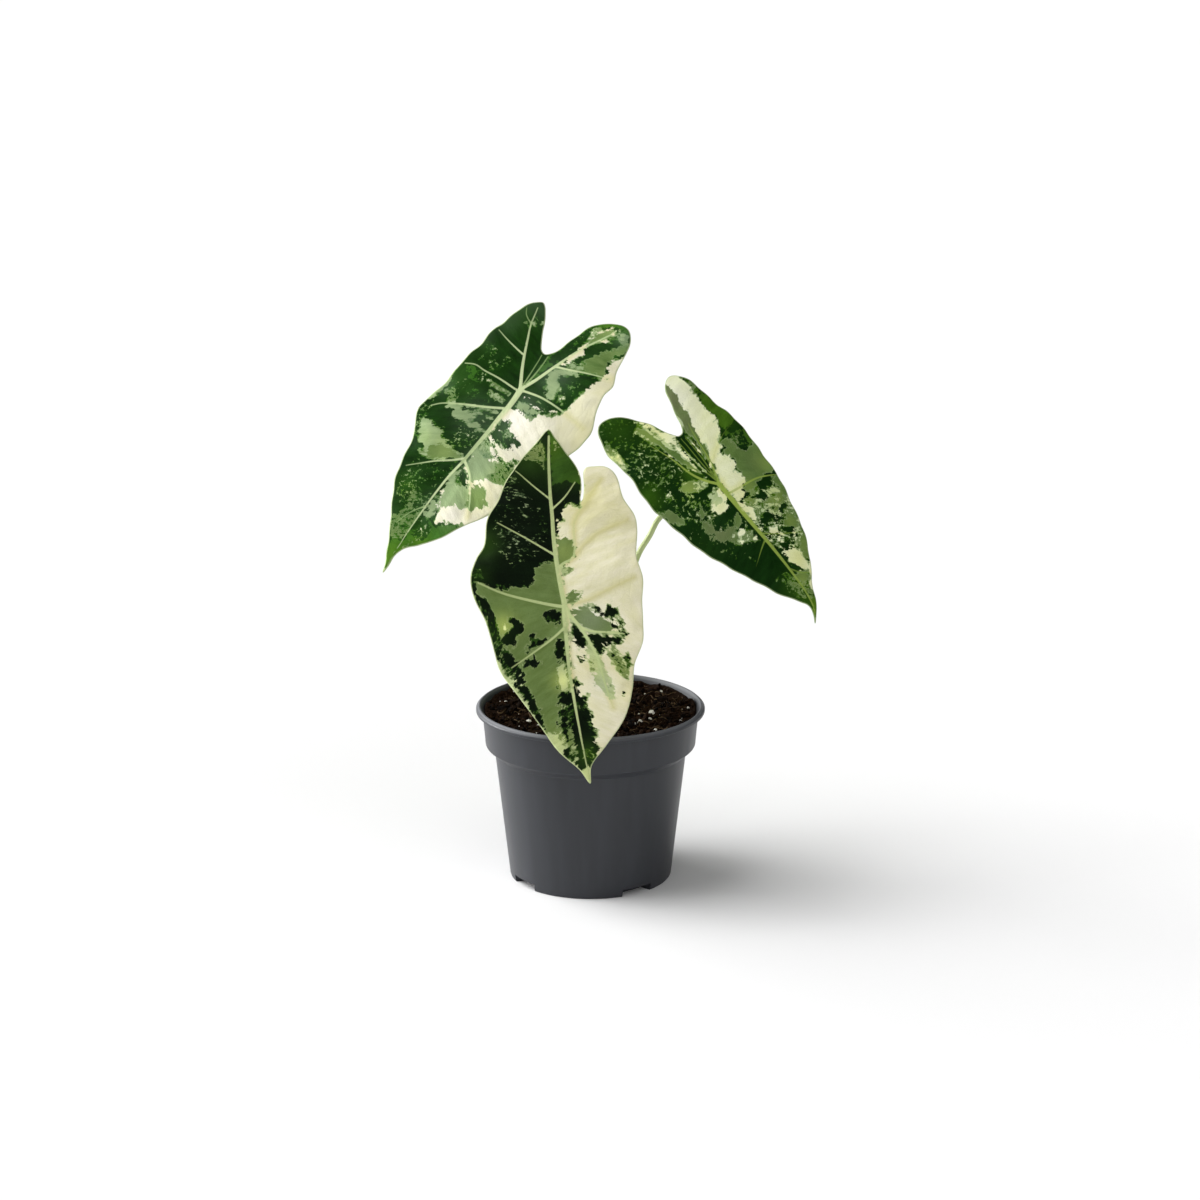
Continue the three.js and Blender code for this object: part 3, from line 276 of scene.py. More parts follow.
front_patches = [
    # dark upper half with ashen flecks
    ("green", [(2.4, -66), (3.4, -78), (5, -100), (22, -84), (22, -60), (15, -66), (10, -68)]),
    ("flecks", [(-28, -58), (-14, -66), (-4, -56), (-2, -40), (-8, -30), (-24, -24), (-33, -40)]),
    ("speckled", [(-24, -72), (-16, -76), (-10, -62), (-22, -60)]),
    ("snow", [(-29.6, -44.6), (-26, -45), (-25.4, -40), (-28.6, -40)]),
    ("snow", [(-24, -39), (-19, -40), (-19, -34.6), (-23, -35)]),
    ("snow", [(-29, -36), (-24, -33.6), (-25, -30.6), (-29, -32)]),
    ("snow", [(-16, -56), (-12.4, -56), (-12.6, -51), (-15.6, -51)]),
    ("torn sage", [(-12, -82), (-8, -86), (-3, -91), (1, -93), (2, -86), (1, -80), (0.4, -74), (-1, -76),
                   (-3, -79), (-6, -81)]),
    ("torn sage", [(6, -91), (8, -91), (10, -86), (6, -84)]),
    ("speckled", [(-46, -32), (-39, -26), (-37, -18), (-46, -12)]),
    # sage half
    ("sage", [(-42, -21), (-39, -20), (-35, -17), (-31, -15.5), (-22, -15), (-15, -15.5), (-13.5, -19),
              (-13, -23), (-9, -25), (-4, -26.5), (-0.8, -27), (-0.8, 20), (-6, 25), (-9, 35), (-10, 45),
              (-12, 60), (-14, 68), (-24, 60), (-46, 30), (-46, -10)]),
    ("cream", [(-0.8, -27), (-0.6, -36), (2, -43), (2.5, -47), (5, -47), (4.8, -50), (5.5, -53), (8, -55),
               (12, -55), (13.5, -54), (14.5, -53), (15.5, -54), (16.2, -60), (17.2, -68), (17, -78),
               (40, -78), (50, -40), (46, 0), (40, 30), (20, 68), (8, 80), (-2, 92), (-6, 84), (-1.2, 20),
               (-0.6, 0)]),
    ("sage", [(0.8, -36), (2, -39.4), (3, -37), (5.4, -38), (5.4, -35.4), (8, -35), (7.4, -32.6), (10, -31),
              (8.2, -29.4), (9.2, -27), (6, -27), (5, -24), (3.2, -25), (1.5, -22.6), (0.4, -24)]),
    ("torn silver", [(1, -23), (3, -22), (6.5, -21), (7, -20), (4, -18.5), (1.5, -18)]),
    ("sage", [(2, -6), (4, -8.4), (6.4, -8.4), (8.4, -7), (6, -5), (4, -4.2)]),
    ("torn sage", [(-41, -14), (-37, -8), (-35, 0), (-33, 12), (-31, 22), (-30, 31), (-34, 33), (-44, 20),
                   (-46, -10)]),
    ("night", [(-44, -14), (-40, -11), (-36.5, -3), (-35.5, 8), (-35, 16), (-34, 24), (-33, 29), (-37, 26),
               (-40, 12), (-42, -2)]),
    ("speckled", [(-44, -14), (-38, -8), (-35.6, 2), (-35, 14), (-33.4, 24), (-37, 24), (-42, 2)]),
    ("sage", [(-35, 0), (-28, 0), (-27.5, 8.5), (-35, 8.5)]),
    ("silver", [(-33.6, 2), (-30.4, 2.4), (-30, 6), (-33, 6.8)]),
    ("night", [(-29, 0), (-26, 1), (-22, 4), (-22.5, 8), (-26, 10), (-28, 14), (-32, 15), (-34, 10),
               (-30, 7), (-28, 4)]),
    ("night", [(-11, 1), (-8, -1), (-3, -1), (-2, 2), (-3, 5), (-6, 6), (-8, 4), (-10, 5)]),
    ("night", [(-19, 9.4), (-17.5, 9.6), (-17, 13), (-12, 13.4), (-9, 12.5), (-14, 15), (-19, 17),
               (-22, 19), (-22, 16), (-20, 14)]),
    ("torn sage", [(-26, 22), (-20, 21.6), (-16, 23), (-14, 25), (-18, 27.6), (-22, 27), (-27, 26)]),
    ("night", [(-24, 22.6), (-19, 22), (-16, 24.6), (-20, 26), (-24, 25)]),
    ("night", [(-8, 19), (-6, 14), (-3, 15), (-3.4, 24), (-6, 24), (-8, 22)]),
    ("torn sage", [(-36, 12), (-32, 14), (-29, 20), (-25, 24), (-24, 34), (-28, 40), (-34, 30)]),
    ("night", [(-34, 14), (-32, 15), (-30, 20), (-27, 24), (-26, 30), (-25, 36), (-22, 42), (-20, 48),
               (-19, 56), (-20, 62), (-22, 58), (-25, 50), (-26, 44), (-29, 38), (-31, 34), (-33, 28),
               (-35, 22)]),
    ("snow", [(-34, 24), (-30, 24), (-26, 30), (-27, 38), (-32, 34)]),
    ("silver", [(-42, 18), (-36.4, 20), (-34.6, 25), (-30, 34), (-25.4, 45), (-21, 56), (-17, 64),
                (-22, 68), (-34, 46)]),
    # along the midrib towards the tip
    ("smeared", [(-9, 29), (-4, 25), (-2, 33), (-3, 46), (-8, 50), (-10, 60), (-8, 66), (-9, 72), (-12, 70),
                 (-14, 66), (-12, 60), (-10, 52), (-9, 45), (-9, 38)]),
    ("smooth silver", [(-8.6, 28.6), (-4.6, 26), (-3.6, 38), (-8, 47)]),
    ("silver", [(-17, 60), (-12, 61), (-8.6, 71), (-4, 79), (-2, 90), (-8, 84), (-20, 66)]),
    ("night", [(-10, 42), (-8, 41), (-3, 41.4), (-3, 47.6), (-8, 48.4)]),
    ("night", [(-1.5, 34.5), (0.4, 35), (3, 38.4), (1, 39.6), (-1, 37)]),
    ("night", [(-1.5, 39.5), (1, 41), (1.6, 44), (3.8, 45), (3.4, 49), (0, 51), (-1.6, 46)]),
    ("night", [(-2, 50), (-5, 53), (-7, 54), (-9, 59), (-10, 61), (-7, 63), (-8, 67), (-10, 70), (-10, 73),
               (-7, 76), (-4, 80), (0, 80), (4, 76), (7, 72), (5, 68), (6, 64), (7.6, 62), (5, 60), (4, 57),
               (6, 56.6), (4, 50)]),
    ("speckled", [(-9.4, 50), (-3, 48.6), (-2.6, 56), (-7, 62), (-10, 60)]),
    ("torn sage", [(-8, 62), (-5, 58), (-4, 64), (-5, 74), (-8, 74)]),
    ("silver", [(-6.4, 69), (-4.6, 68.4), (-4, 74), (-5.6, 76)]),
    ("speckled", [(-2, 70), (5, 70), (4, 78), (-2, 80)]),
    ("silver", [(-3, 79.5), (2.4, 79.5), (1, 92), (-4, 90)]),
    # islands on the cream half
    ("smooth silver", [(1.5, 3), (4, 5), (8.4, 12), (13.6, 25), (15.6, 38), (14.4, 39), (11.6, 26),
                       (6.2, 12.6)]),
    ("night", [(2.5, 7), (5, 10), (7, 13), (8, 18), (6, 20), (4, 19), (2, 16), (2.5, 11)]),
    ("torn cream", [(2, 23.5), (7, 23.5), (7, 27.5), (3, 28)]),
    ("sage", [(2.4, 0), (8, 0), (13, 3.4), (18, 6.4), (21.4, 9.6), (22, 13.4), (14, 12.4), (9, 11),
              (5, 5)]),
    ("torn cream", [(9.6, 14), (15, 14), (21, 14.6), (27, 16), (28, 18.5), (24, 20.6), (21, 21), (17, 24),
                    (14, 26), (12, 22), (10, 18)]),
    ("smooth silver", [(6, 8), (11, 10.8), (20, 13), (28, 15.4), (27, 16.8), (19, 15), (10.6, 13.2)]),
    ("night", [(9.6, 14.4), (14, 14.4), (17, 15.6), (27, 17), (28, 18.5), (22, 19.6), (16, 19),
               (15.8, 23.4), (13.6, 24.4), (11.6, 20)]),
    ("night", [(13, -0.4), (16, 0.6), (19, 4), (21, 3), (22, 0.6), (25.4, 2), (26.4, 5), (23.6, 6), (22, 8),
               (25, 9), (27.4, 10), (28, 14), (29.5, 16), (27, 17), (25, 13), (23, 10), (22, 6), (18, 5),
               (15, 2.8)]),
    ("torn cream", [(21, 7), (27, 7), (29, 15), (26, 16), (22, 11)]),
    ("smeared", [(7, 26), (11, 26), (11, 33.5), (8, 33)]),
    ("silver", [(10, 34.6), (14, 36.6), (18, 42), (17, 47), (13, 42.6), (10.2, 38)]),
    ("smeared", [(17, 22), (22, 21), (26, 27), (28, 34), (27, 40.6), (24, 38), (21, 34), (18.4, 29)]),
    ("torn sage", [(19, 24), (22, 24), (25, 32), (26, 38), (23, 35)]),
    ("night", [(26.2, 28), (28.2, 27.4), (28, 32), (26.4, 33)]),
    ("torn cream", [(15.6, 40), (18, 39.6), (18, 42), (16, 42)]),
    ("torn cream", [(22, 44), (24.6, 44), (24, 48), (22, 48)]),
]

front_blade = {
    "joint": (-12.5, -40, 154.8),
    "tilt": 24, "yaw": 2, "spin": 7.4,
    "bend_tip": 0.001, "bend_lobe": 0.0026, "fold_tip": 7, "fold_lobe": 9,
    "curl": 0.0024, "wave": 1.4, "wave_length": 34, "wave_start": (0, 8),
    "outline": [
        (5.3, -97.8), (-3, -90.6), (-16.4, -77), (-21, -71), (-26.4, -61), (-33, -52), (-36.4, -39),
        (-41, -33), (-45.4, -23), (-45.3, -14), (-41, 0), (-38.8, 15), (-37, 26), (-29.2, 41), (-21, 56),
        (-13.7, 70), (-4.2, 81), (0.2, 88.3), (1.9, 80), (11.3, 70), (22, 58), (28, 44), (30.8, 32),
        (36.6, 21), (38.2, 11), (39.4, 0), (41.3, -11), (39.7, -22), (42.3, -37), (42.2, -43), (37.4, -54),
        (36.4, -65), (34.4, -69.6), (30.8, -72.6), (25.8, -73.5), (21.4, -73.5), (19.7, -71.7), (19, -68),
        (18.6, -63.5), (17.9, -59.5), (16.9, -56.3), (15.9, -55.2), (15.8, -56.6), (16.9, -60.6),
        (17.6, -65), (17.6, -69), (17, -72.8), (13.6, -80.5), (8, -92.1),
    ],
    "veins": [
        (MIDRIB, 2.1, 0.9, [(0.2, 0), (-0.8, 6), (-1.5, 12)]),
        (MIDRIB, 0.9, 0.7, [(-1.5, 12), (-1.8, 18), (-2.3, 28), (-2.2, 40)]),
        (MIDRIB, 0.7, 0.15, [(-2.2, 40), (-1.8, 52), (-1.2, 66), (-0.5, 78), (0.1, 86)]),
        (MIDRIB, 1.3, 0.5, [(0.2, 0), (-0.7, -16), (-0.9, -30), (-0.5, -40), (0.3, -50), (0.8, -60),
                            (1.7, -70), (2.8, -80), (4.8, -94)]),
        (SIDE_VEIN, 0.8, 0.3, [(0.4, -2), (0.8, -23), (8, -27), (11, -45), (17, -53), (28, -66)]),
        (SIDE_VEIN, 0.42, 0.2, [(0.6, -59), (-7.6, -68), (-15, -77)]),
        (SIDE_VEIN, 0.5, 0.22, [(-1, -29), (-11, -37), (-20, -44), (-28, -50)]),
        (SIDE_VEIN, 0.8, 0.35, [(0, -2), (-10, -5), (-30, -13), (-42, -20)]),
        (SIDE_VEIN, 0.45, 0.22, [(1.4, -54), (8, -59), (14.4, -66)]),
        (FINE_VEIN, 0.4, 0.2, [(9, -28), (15, -33), (21, -37), (38, -42)]),
        (FINE_VEIN, 0.5, 0.2, [(1, -3), (12, -4), (21, -7), (37, -12)]),
        (SIDE_VEIN, 0.6, 0.25, [(-1.2, 8), (-7.6, 12.6), (-19, 19), (-31, 25)]),
        (MIDRIB, 0.85, 0.3, [(1, 1), (7, 11), (12.6, 26), (14.8, 41), (17, 52)]),
        (MIDRIB, 0.6, 0.3, [(6, 9), (11, 12), (20, 14), (28, 16)]),
    ],
    "base": "night",
    "patches": front_patches,
    "glow": [(9, -80, 13, 0.9), (-6, -84, 12, 0.9), (-37, -40, 8, 1.0), (-41, -24, 6, 0.4),
             (0, 74, 7, 0.9), (-39, 8, 9, 0.35), (16, -70, 8, 0.5)],
    "gold": [(-32, 4, 6, 1.0), (-6.5, 35, 5, 1.0), (-12, 65, 6, 0.4), (0, 84, 8, 0.5), (18, -55, 14, 0.5),
             (30, -50, 12, 0.35), (4, -30, 6, 0.4), (9, 30, 5, 0.4), (23, 32, 7, 0.5), (2, 74, 5, 0.6),
             (-22, 62, 8, 0.2), (26, 45, 7, 0.4), (4, -88, 10, 0.5)],
    "ash_and_sheen": [(-18, -42, 12, 1.0), (-12, -60, 11, 0.9), (14, 40, 6, 0.4), (12, 6, 9, 0.7)],
}

right_patches = [
    # left lobe: dark and densely speckled
    ("mist", [(-36, -62), (-20, -66), (-10, -54), (-14, -44), (-24, -46), (-34, -54)]),
    ("flecks", [(-35, -62), (-18, -64), (-12, -48), (-13, -30), (-8, -12), (-14, 2), (-36, -4),
                (-38, -30)]),
    ("mosaic", [(-33, -34), (-28, -42), (-18, -40), (-14, -30), (-11, -18), (-16, -12), (-30, -14),
                (-34, -24)]),
    ("snow", [(-27, -38), (-20, -38), (-18, -31), (-25, -32)]),
    ("snow", [(-31, -31), (-25, -31), (-25, -25), (-31, -26)]),
    ("smeared", [(-40, -51), (-34, -51), (-33, -42), (-33.6, -36), (-36, -34), (-40, -36)]),
    ("smeared", [(-19, -48), (-15, -50), (-14, -40), (-15, -34), (-17, -42)]),
    ("cream", [(-14, -52), (-10, -50), (-7, -44), (-3, -35), (-3.6, -30), (-4.4, -24), (-4.8, -18),
               (-4.2, -12), (-4, -7), (-6, -11), (-8.4, -16), (-10.6, -22), (-12.4, -28), (-13.4, -34),
               (-14.6, -42), (-15, -48)]),
    ("torn cream", [(-15, -52), (-11, -50), (-10, -44), (-12, -42), (-15, -46)]),
    ("smooth sage", [(-16, -50), (-13, -46), (-10.6, -38), (-8, -27), (-5.4, -16), (-4, -8), (-6, -12),
                     (-9.4, -20), (-12, -28), (-14, -36), (-16, -44)]),
    ("smooth silver", [(-14, -50), (-11.6, -44), (-8.8, -32), (-5.6, -19), (-4.2, -9), (-6.6, -19),
                       (-10, -30), (-12.6, -40)]),
    # between the lobes: dark, with cream streaks along the veins
    ("night", [(-3, -33), (5, -33), (6.4, -26), (4, -12), (1, -5), (-1, -5), (-5, -16), (-4, -27)]),
    ("smooth cream", [(2.2, -31), (3.4, -30), (3.6, -18), (2.6, -14)]),
    ("smooth silver", [(-4.6, -25), (-3.6, -25), (-1.4, -9), (-2.2, -8)]),
    # right lobe
    ("cream", [(4.6, -24), (6.2, -27), (15, -62), (20, -70), (28, -66), (26.4, -58), (28, -51), (26.5, -47),
               (25, -43), (24.5, -36), (26, -31), (24, -27), (22, -23), (20, -20), (17, -18), (17, -15),
               (13, -13.4), (16, -9), (17, -5), (14.6, -2), (15.5, 2), (15, 6), (10.5, 8), (10, 12),
               (4, 13.6), (6, 26), (3.6, 30), (1.8, 18), (0.6, 0), (3, -12)]),
    ("smooth silver", [(4, -46), (9, -50), (8, -38), (5.6, -28), (4.4, -30)]),
    ("smooth sage", [(12, -62), (15.4, -60), (14.2, -52), (12.2, -42), (9.6, -32), (7, -22), (4, -8),
                     (4.6, -20), (5.4, -30), (7, -40), (9.6, -52)]),
    ("green", [(28, -52), (31, -45), (34, -33), (36, -20), (37, -10), (31, -8), (28, -10), (26, -11),
               (24, -15), (27, -17), (25, -20), (22, -19), (25, -23), (24, -27), (26, -31), (24.5, -36),
               (25, -43), (28, -46), (27, -50)]),
    ("night", [(25, -23), (35, -24), (36, -18), (30, -19), (25, -19)]),
    ("torn sage", [(24.5, -60), (27, -59), (30, -53), (27.6, -51), (25.6, -56)]),
    ("sage", [(20, -20), (17, -18), (17, -15), (13, -13.4), (16, -9), (17, -5), (14.6, -2), (15.5, 2),
              (15, 6), (10.5, 8), (11, 12), (18, 12), (21, 10), (30, 9), (38, 12), (39, 0), (36, -8),
              (30, -9), (24, -12), (23, -18)]),
    ("speckled", [(24, -18), (33, -17), (33, -8.6), (25, -9)]),
    ("night", [(24, -12), (29, -11), (32, -8.4), (26, -8.6)]),
    # the mixed right half: ground, then islands from top to bottom
    ("torn silver", [(6, 14), (16, 12.4), (30, 12), (37, 14), (34, 36), (28, 46), (20, 50), (12, 49),
                     (6, 42), (4, 34), (5, 24)]),
    ("sage", [(5.6, 13.4), (12, 13.6), (14, 17), (10, 18.4), (7, 16)]),
    ("cream", [(3, 14), (5, 15), (9, 19), (10, 23), (7, 25.6), (4, 27)]),
    ("night", [(20, 13), (22, 10.2), (30, 10.8), (31.6, 15), (27, 16), (22, 15.6)]),
    ("night", [(12, 15.4), (18, 14.6), (23, 16), (21.6, 19), (18, 19.8), (14, 17.8)]),
    ("sage", [(16, 21), (22, 20), (31, 20), (32, 26), (26, 26), (20, 24.4)]),
    ("silver", [(21, 17.6), (26, 16.4), (30, 19), (29, 21), (23, 20.6)]),
    ("silver", [(20, 22), (27, 21.4), (29.6, 24), (25, 24.6)]),
    ("night", [(7, 28.6), (9, 25.6), (12, 24.6), (16, 26), (17.4, 29), (14, 32), (8, 31)]),
    ("sage", [(17, 25.4), (22, 24.6), (24, 28), (20, 29)]),
    ("night", [(22, 29.4), (26, 27), (31, 28.6), (27, 31), (23, 31)]),
    ("torn cream", [(4, 30), (12, 31), (24, 32), (24, 44), (19, 50), (10, 48), (5, 42)]),
    ("night", [(5, 30), (8, 31.4), (12, 32), (12, 34.6), (8, 35), (5.4, 33)]),
    ("cream", [(8, 33.6), (13, 32.6), (16, 35), (14, 38), (9, 38)]),
    ("night", [(17, 30), (21, 31.6), (23.6, 35), (20, 34.6), (17, 33)]),
    ("night", [(17, 37.6), (22, 36.4), (24.6, 41), (20, 43), (17, 41)]),
    ("night", [(9, 43), (14, 43.6), (14, 47), (10.6, 47)]),
    ("sage", [(20, 34), (28, 33), (31, 36), (27, 42), (22, 40), (19, 37)]),
    ("sage", [(30, 12), (37, 12), (34, 24), (30, 27)]),
    ("smeared", [(31, 26), (38, 22), (36, 35), (32, 38), (29.6, 34)]),
    ("cream", [(8, 47), (13, 48), (18, 50), (21, 55), (20, 60), (22, 61), (25, 56), (30, 50), (20, 66),
               (16, 76), (11, 76), (10, 70), (12, 68), (15, 67), (16, 63), (12, 60), (9, 54)]),
    ("sage", [(19, 51), (22, 48), (29, 45), (26, 55), (22, 61), (20, 57)]),
    ("night", [(5.4, 45), (8, 48), (8.6, 53), (12, 57), (13, 60), (9, 60), (7.6, 54), (6, 50)]),
    ("sage", [(7.2, 61), (12, 60.4), (16.4, 63.4), (15, 67.6), (12, 68), (9, 70), (7.6, 66)]),
    ("torn sage", [(8, 69), (12, 69), (13.4, 73.6), (12, 78), (8, 78)]),
    ("green", [(8, 77), (13, 76), (12, 82), (4, 92), (3, 84), (7, 79)]),
    # left half beside the stalk's joint
    ("cream", [(-1.4, 1), (-1, 9), (-4, 13), (-14, 13.6), (-16, 10.6), (-12, 7), (-10.5, 3), (-9, 0),
               (-4, 0.2)]),
    ("night", [(-3.4, 0.4), (-8, -3), (-14, -2.6), (-18, 0), (-16, 4), (-11, 5.6), (-10, 1.4), (-7, 1)]),
    ("silver", [(-9, 2.4), (-6, 2.4), (-5, 6.4), (-8, 8)]),
    ("smeared", [(-3.4, -4.6), (-8, -8), (-13, -10.4), (-20, -10), (-18, -6), (-12, -2.6), (-6, -2.4)]),
    ("sage", [(-11, -9.6), (-20.6, -10), (-19, -6), (-14, -3.4)]),
    ("sage", [(-35, -6), (-31, -5), (-28.4, -1), (-27, 4), (-28.6, 8), (-32, 5), (-35, 2)]),
    ("snow", [(-30, -11.6), (-25, -11.6), (-24.4, -5), (-29, -5)]),
    ("cream", [(-29, -10), (-26, -10.4), (-25.8, -6.6), (-28.2, -6.8)]),
    ("mosaic", [(-30, -4), (-16, -4), (-10, 4), (-14, 9), (-22, 13), (-28, 6)]),
    ("mosaic", [(-24, 8), (-15, 7), (-13, 13), (-2, 15), (0, 22), (2, 35), (-8, 34), (-18, 26)]),
    ("flecks", [(-30, 8), (-20, 16), (-12, 30), (-6, 36), (-8, 44), (-20, 36), (-32, 14)]),
    # below the cream: a sage field round a dark island, and small white scraps
    ("sage", [(-20.5, 4), (-16.5, 5.5), (-15.5, 8), (-19, 11), (-17, 15.5), (-17, 18.5), (-14.5, 21),
              (-8.5, 21.5), (-5, 18.5), (-2, 17), (-1, 20.5), (-4.5, 24), (-9.5, 25.5), (-14.5, 27),
              (-18, 25.5), (-21, 22), (-21, 17), (-22.5, 13.5), (-20, 8.5)]),
    ("night", [(-14, 14), (-11, 13), (-3, 13.6), (-2.6, 18), (-7, 18.5), (-10, 20), (-13, 18.5)]),
    ("torn cream", [(-15, 7), (-12, 8.5), (-11, 11.5), (-13.5, 12.5), (-16, 14), (-17, 12.5)]),
    ("torn silver", [(-14, 27), (-11, 25), (-6, 26), (-2, 28), (-1, 36), (-6, 33), (-12, 32)]),
    ("smooth cream", [(-9, 25), (-3.5, 25.5), (-3, 29), (-7.5, 28.8), (-9.5, 27.5)]),
    ("smooth cream", [(-12.5, 26.6), (-9.5, 28), (-8, 30.4), (-6, 30), (-7.5, 32), (-11.5, 31)]),
    ("smooth cream", [(-3.4, 30.6), (-1.2, 33), (-0.8, 35.5), (-3.6, 34)]),
    ("speckled", [(-6, 56), (5, 56), (7, 68), (5, 76), (-1, 70)]),
    ("torn sage", [(0, 62), (6, 61), (7.4, 70), (6.4, 76), (2, 71)]),
]

right_blade = {
    "joint": (66.5, 4, 210.5),
    "tilt": 34, "yaw": 24, "spin": 25.7,
    "bend_tip": 0.0034, "bend_lobe": 0.003, "fold_tip": -9, "fold_lobe": -5,
    "curl": 0.001, "wave": 1.2, "wave_length": 36, "wave_start": (0, 6),
    "outline": [
        (-28, -62.5), (-31.4, -61.8), (-34.2, -59), (-36.4, -53), (-37.6, -44), (-37.1, -33), (-37.9, -18),
        (-36.2, -4), (-34.9, 4), (-31.7, 16.3), (-26.1, 30), (-19.8, 42.8), (-12.8, 54.4), (-5.6, 66),
        (2, 74.4), (4.8, 78.1), (5.2, 83.9), (3.7, 88.3), (7.8, 84.1), (14.2, 72.8), (21.7, 60),
        (27.8, 47.8), (32.4, 35), (34.4, 22.2), (36.2, 6.7), (36.5, -4), (35.2, -17), (34.4, -29),
        (31.4, -46), (29.4, -53), (27, -58.6), (23.6, -62.3), (20, -63.1), (15.6, -61.1), (12.2, -57.2),
        (7.8, -46), (4.4, -36.7), (2.4, -33.4), (-1, -33), (-3.4, -35.4), (-7.2, -43.5), (-13.9, -53.9),
        (-19, -58.8), (-23.4, -61.7),
    ],
    "veins": [
        (MIDRIB, 1.5, 0.35, [(0, 0), (1.4, 20), (4.2, 41), (6.7, 60), (8, 75), (6.4, 84)]),
        (SIDE_VEIN, 0.8, 0.1, [(0, 0), (-5.6, -6), (-9.4, -13), (-12.6, -25), (-17, -37)]),
        (SIDE_VEIN, 0.6, 0.05, [(0, 0), (4.4, -13), (6.7, -27), (9, -36)]),
        (FINE_VEIN, 0.4, -0.15, [(4, -11), (10, -15), (21, -20.6), (33, -24)]),
        (SIDE_VEIN, 0.6, 0.3, [(0.8, 6.7), (8, 7.2), (23, 8.3), (34, 12)]),
        (FINE_VEIN, 0.5, -0.1, [(3.3, 37), (-1, 39.4), (-10, 46)]),
        (FINE_VEIN, 0.4, 0.2, [(3, 33), (12, 38), (27, 45)]),
        (FINE_VEIN, 0.4, 0.2, [(6, 56), (12, 62), (18, 65)]),
        (FINE_VEIN, 0.35, 0.2, [(0, -2), (-2.8, -14), (-3.2, -30)]),
        (FINE_VEIN, 0.3, 0.15, [(0.2, -2), (-0.6, -14), (-0.6, -31)]),
        (FINE_VEIN, 0.35, 0.2, [(0.4, -2), (1.4, -14), (1.8, -30)]),
        (FINE_VEIN, 0.3, 0.2, [(0.6, -2), (3.6, -14), (4.2, -26)]),
    ],
    "base": "night",
    "patches": right_patches,
    "glow": [(-24, -56, 12, 0.5), (-14, -42, 8, 0.4), (-9, -13, 6, 0.9), (-30, 24, 12, 0.1),
             (-36, -15, 7, 0.9), (-18, -30, 10, 0.15), (5, 80, 9, 0.9), (2, 68, 8, 0.5),
             (30, -34, 10, 0.9), (10, 66, 6, 0.7)],
    "gold": [(-36, -43, 6, 0.9), (-12, -44, 12, 0.8), (25, 37, 5, 0.6), (-9, -13, 6, 0.9), (0, 0, 4, 0.9),
             (6, 81, 8, 0.9), (10, 66, 6, 0.8), (14, -30, 22, 0.2), (9, 14, 6, 0.8), (14, 10, 6, 0.6),
             (34, 3, 7, 0.6), (23, 52, 6, 0.5), (15, 55, 8, 0.8), (-9, 11, 6, 0.5), (-16, -7, 7, 1.0),
             (2, 20, 5, 0.4), (24, 22, 8, 0.7), (20, 27, 5, 0.5)],
    "ash_and_sheen": [(11, -52, 12, 1.0), (9, -38, 8, 0.7), (-16, 20, 10, 0.7), (-32, 0, 7, 0.4), (26, 0, 8, 0.2),
            (28, -14, 6, 0.5)],
}

STALK_RADII = [3.9, 3.0, 2.1, 1.6, 1.45, 1.4]  # foot to top, at even steps
STALK_FOOT = 80  # height at which a stalk starts inside the crown
# each stalk's middle line, from the crown to just short of the blade
left_stalk = {
    "blade": left_blade,
    "path": [(-3.6, 8, STALK_FOOT), (-12, 21, 125), (-25, 41, 185), (-34.2, 48.3, 230)],
}
front_stalk = {
    "blade": front_blade,
    "path": [(0.4, -2, STALK_FOOT), (-3, -5, 112), (-8, -15, 138), (-11.2, -28, 150.6)],
}
right_stalk = {
    "blade": right_blade,
    "path": [(6.4, 5.4, STALK_FOOT), (12.6, 6, 122), (24.2, 6, 171), (30.6, 6, 182.6), (36.8, 5.6, 193.4)],
}

# ---------------------------------------------------------------- small tools


def smooth(low, high, x):
    """0 up to low, 1 from high on, and a soft step between them."""
    t = np.clip((x - low) / (high - low), 0, 1)
    return t * t * (3 - 2 * t)


def linear(hex_colour):
    """An sRGB hex colour as linear red, green, blue and alpha."""
    parts = [int(hex_colour[i:i + 2], 16) / 255 for i in (1, 3, 5)]
    return [p / 12.92 if p <= 0.04045 else ((p + 0.055) / 1.055) ** 2.4 for p in parts] + [1.0]


def spline(points, step, closed=False):
    """Points in even steps on the centripetal Catmull-Rom curve through the given points."""
    points = [np.array(p, float) for p in points]
    count = len(points)
    spans = count if closed else count - 1
    line = []
    for i in range(spans):
        if closed:
            a, b, c, d = (points[(i + k) % count] for k in (-1, 0, 1, 2))
        else:
            b, c = points[i], points[i + 1]
            a = points[i - 1] if i else 2 * b - c
            d = points[i + 2] if i + 2 < count else 2 * c - b
        gaps = [max(np.linalg.norm(q - p), 1e-4) ** 0.5 for p, q in ((a, b), (b, c), (c, d))]
        start = (b - a) / gaps[0] - (c - a) / (gaps[0] + gaps[1]) + (c - b) / gaps[1]
        end = (c - b) / gaps[1] - (d - b) / (gaps[1] + gaps[2]) + (d - c) / gaps[2]
        start, end = start * gaps[1], end * gaps[1]
        steps = max(1, round(np.linalg.norm(c - b) / step))
        for k in range(steps):
            t = k / steps
            cubic = 2 * b - 2 * c + start + end
            square = -3 * b + 3 * c - 2 * start - end
            line.append(b + start * t + square * t * t + cubic * t ** 3)
    if not closed:
        line.append(points[-1])
    return np.array(line)


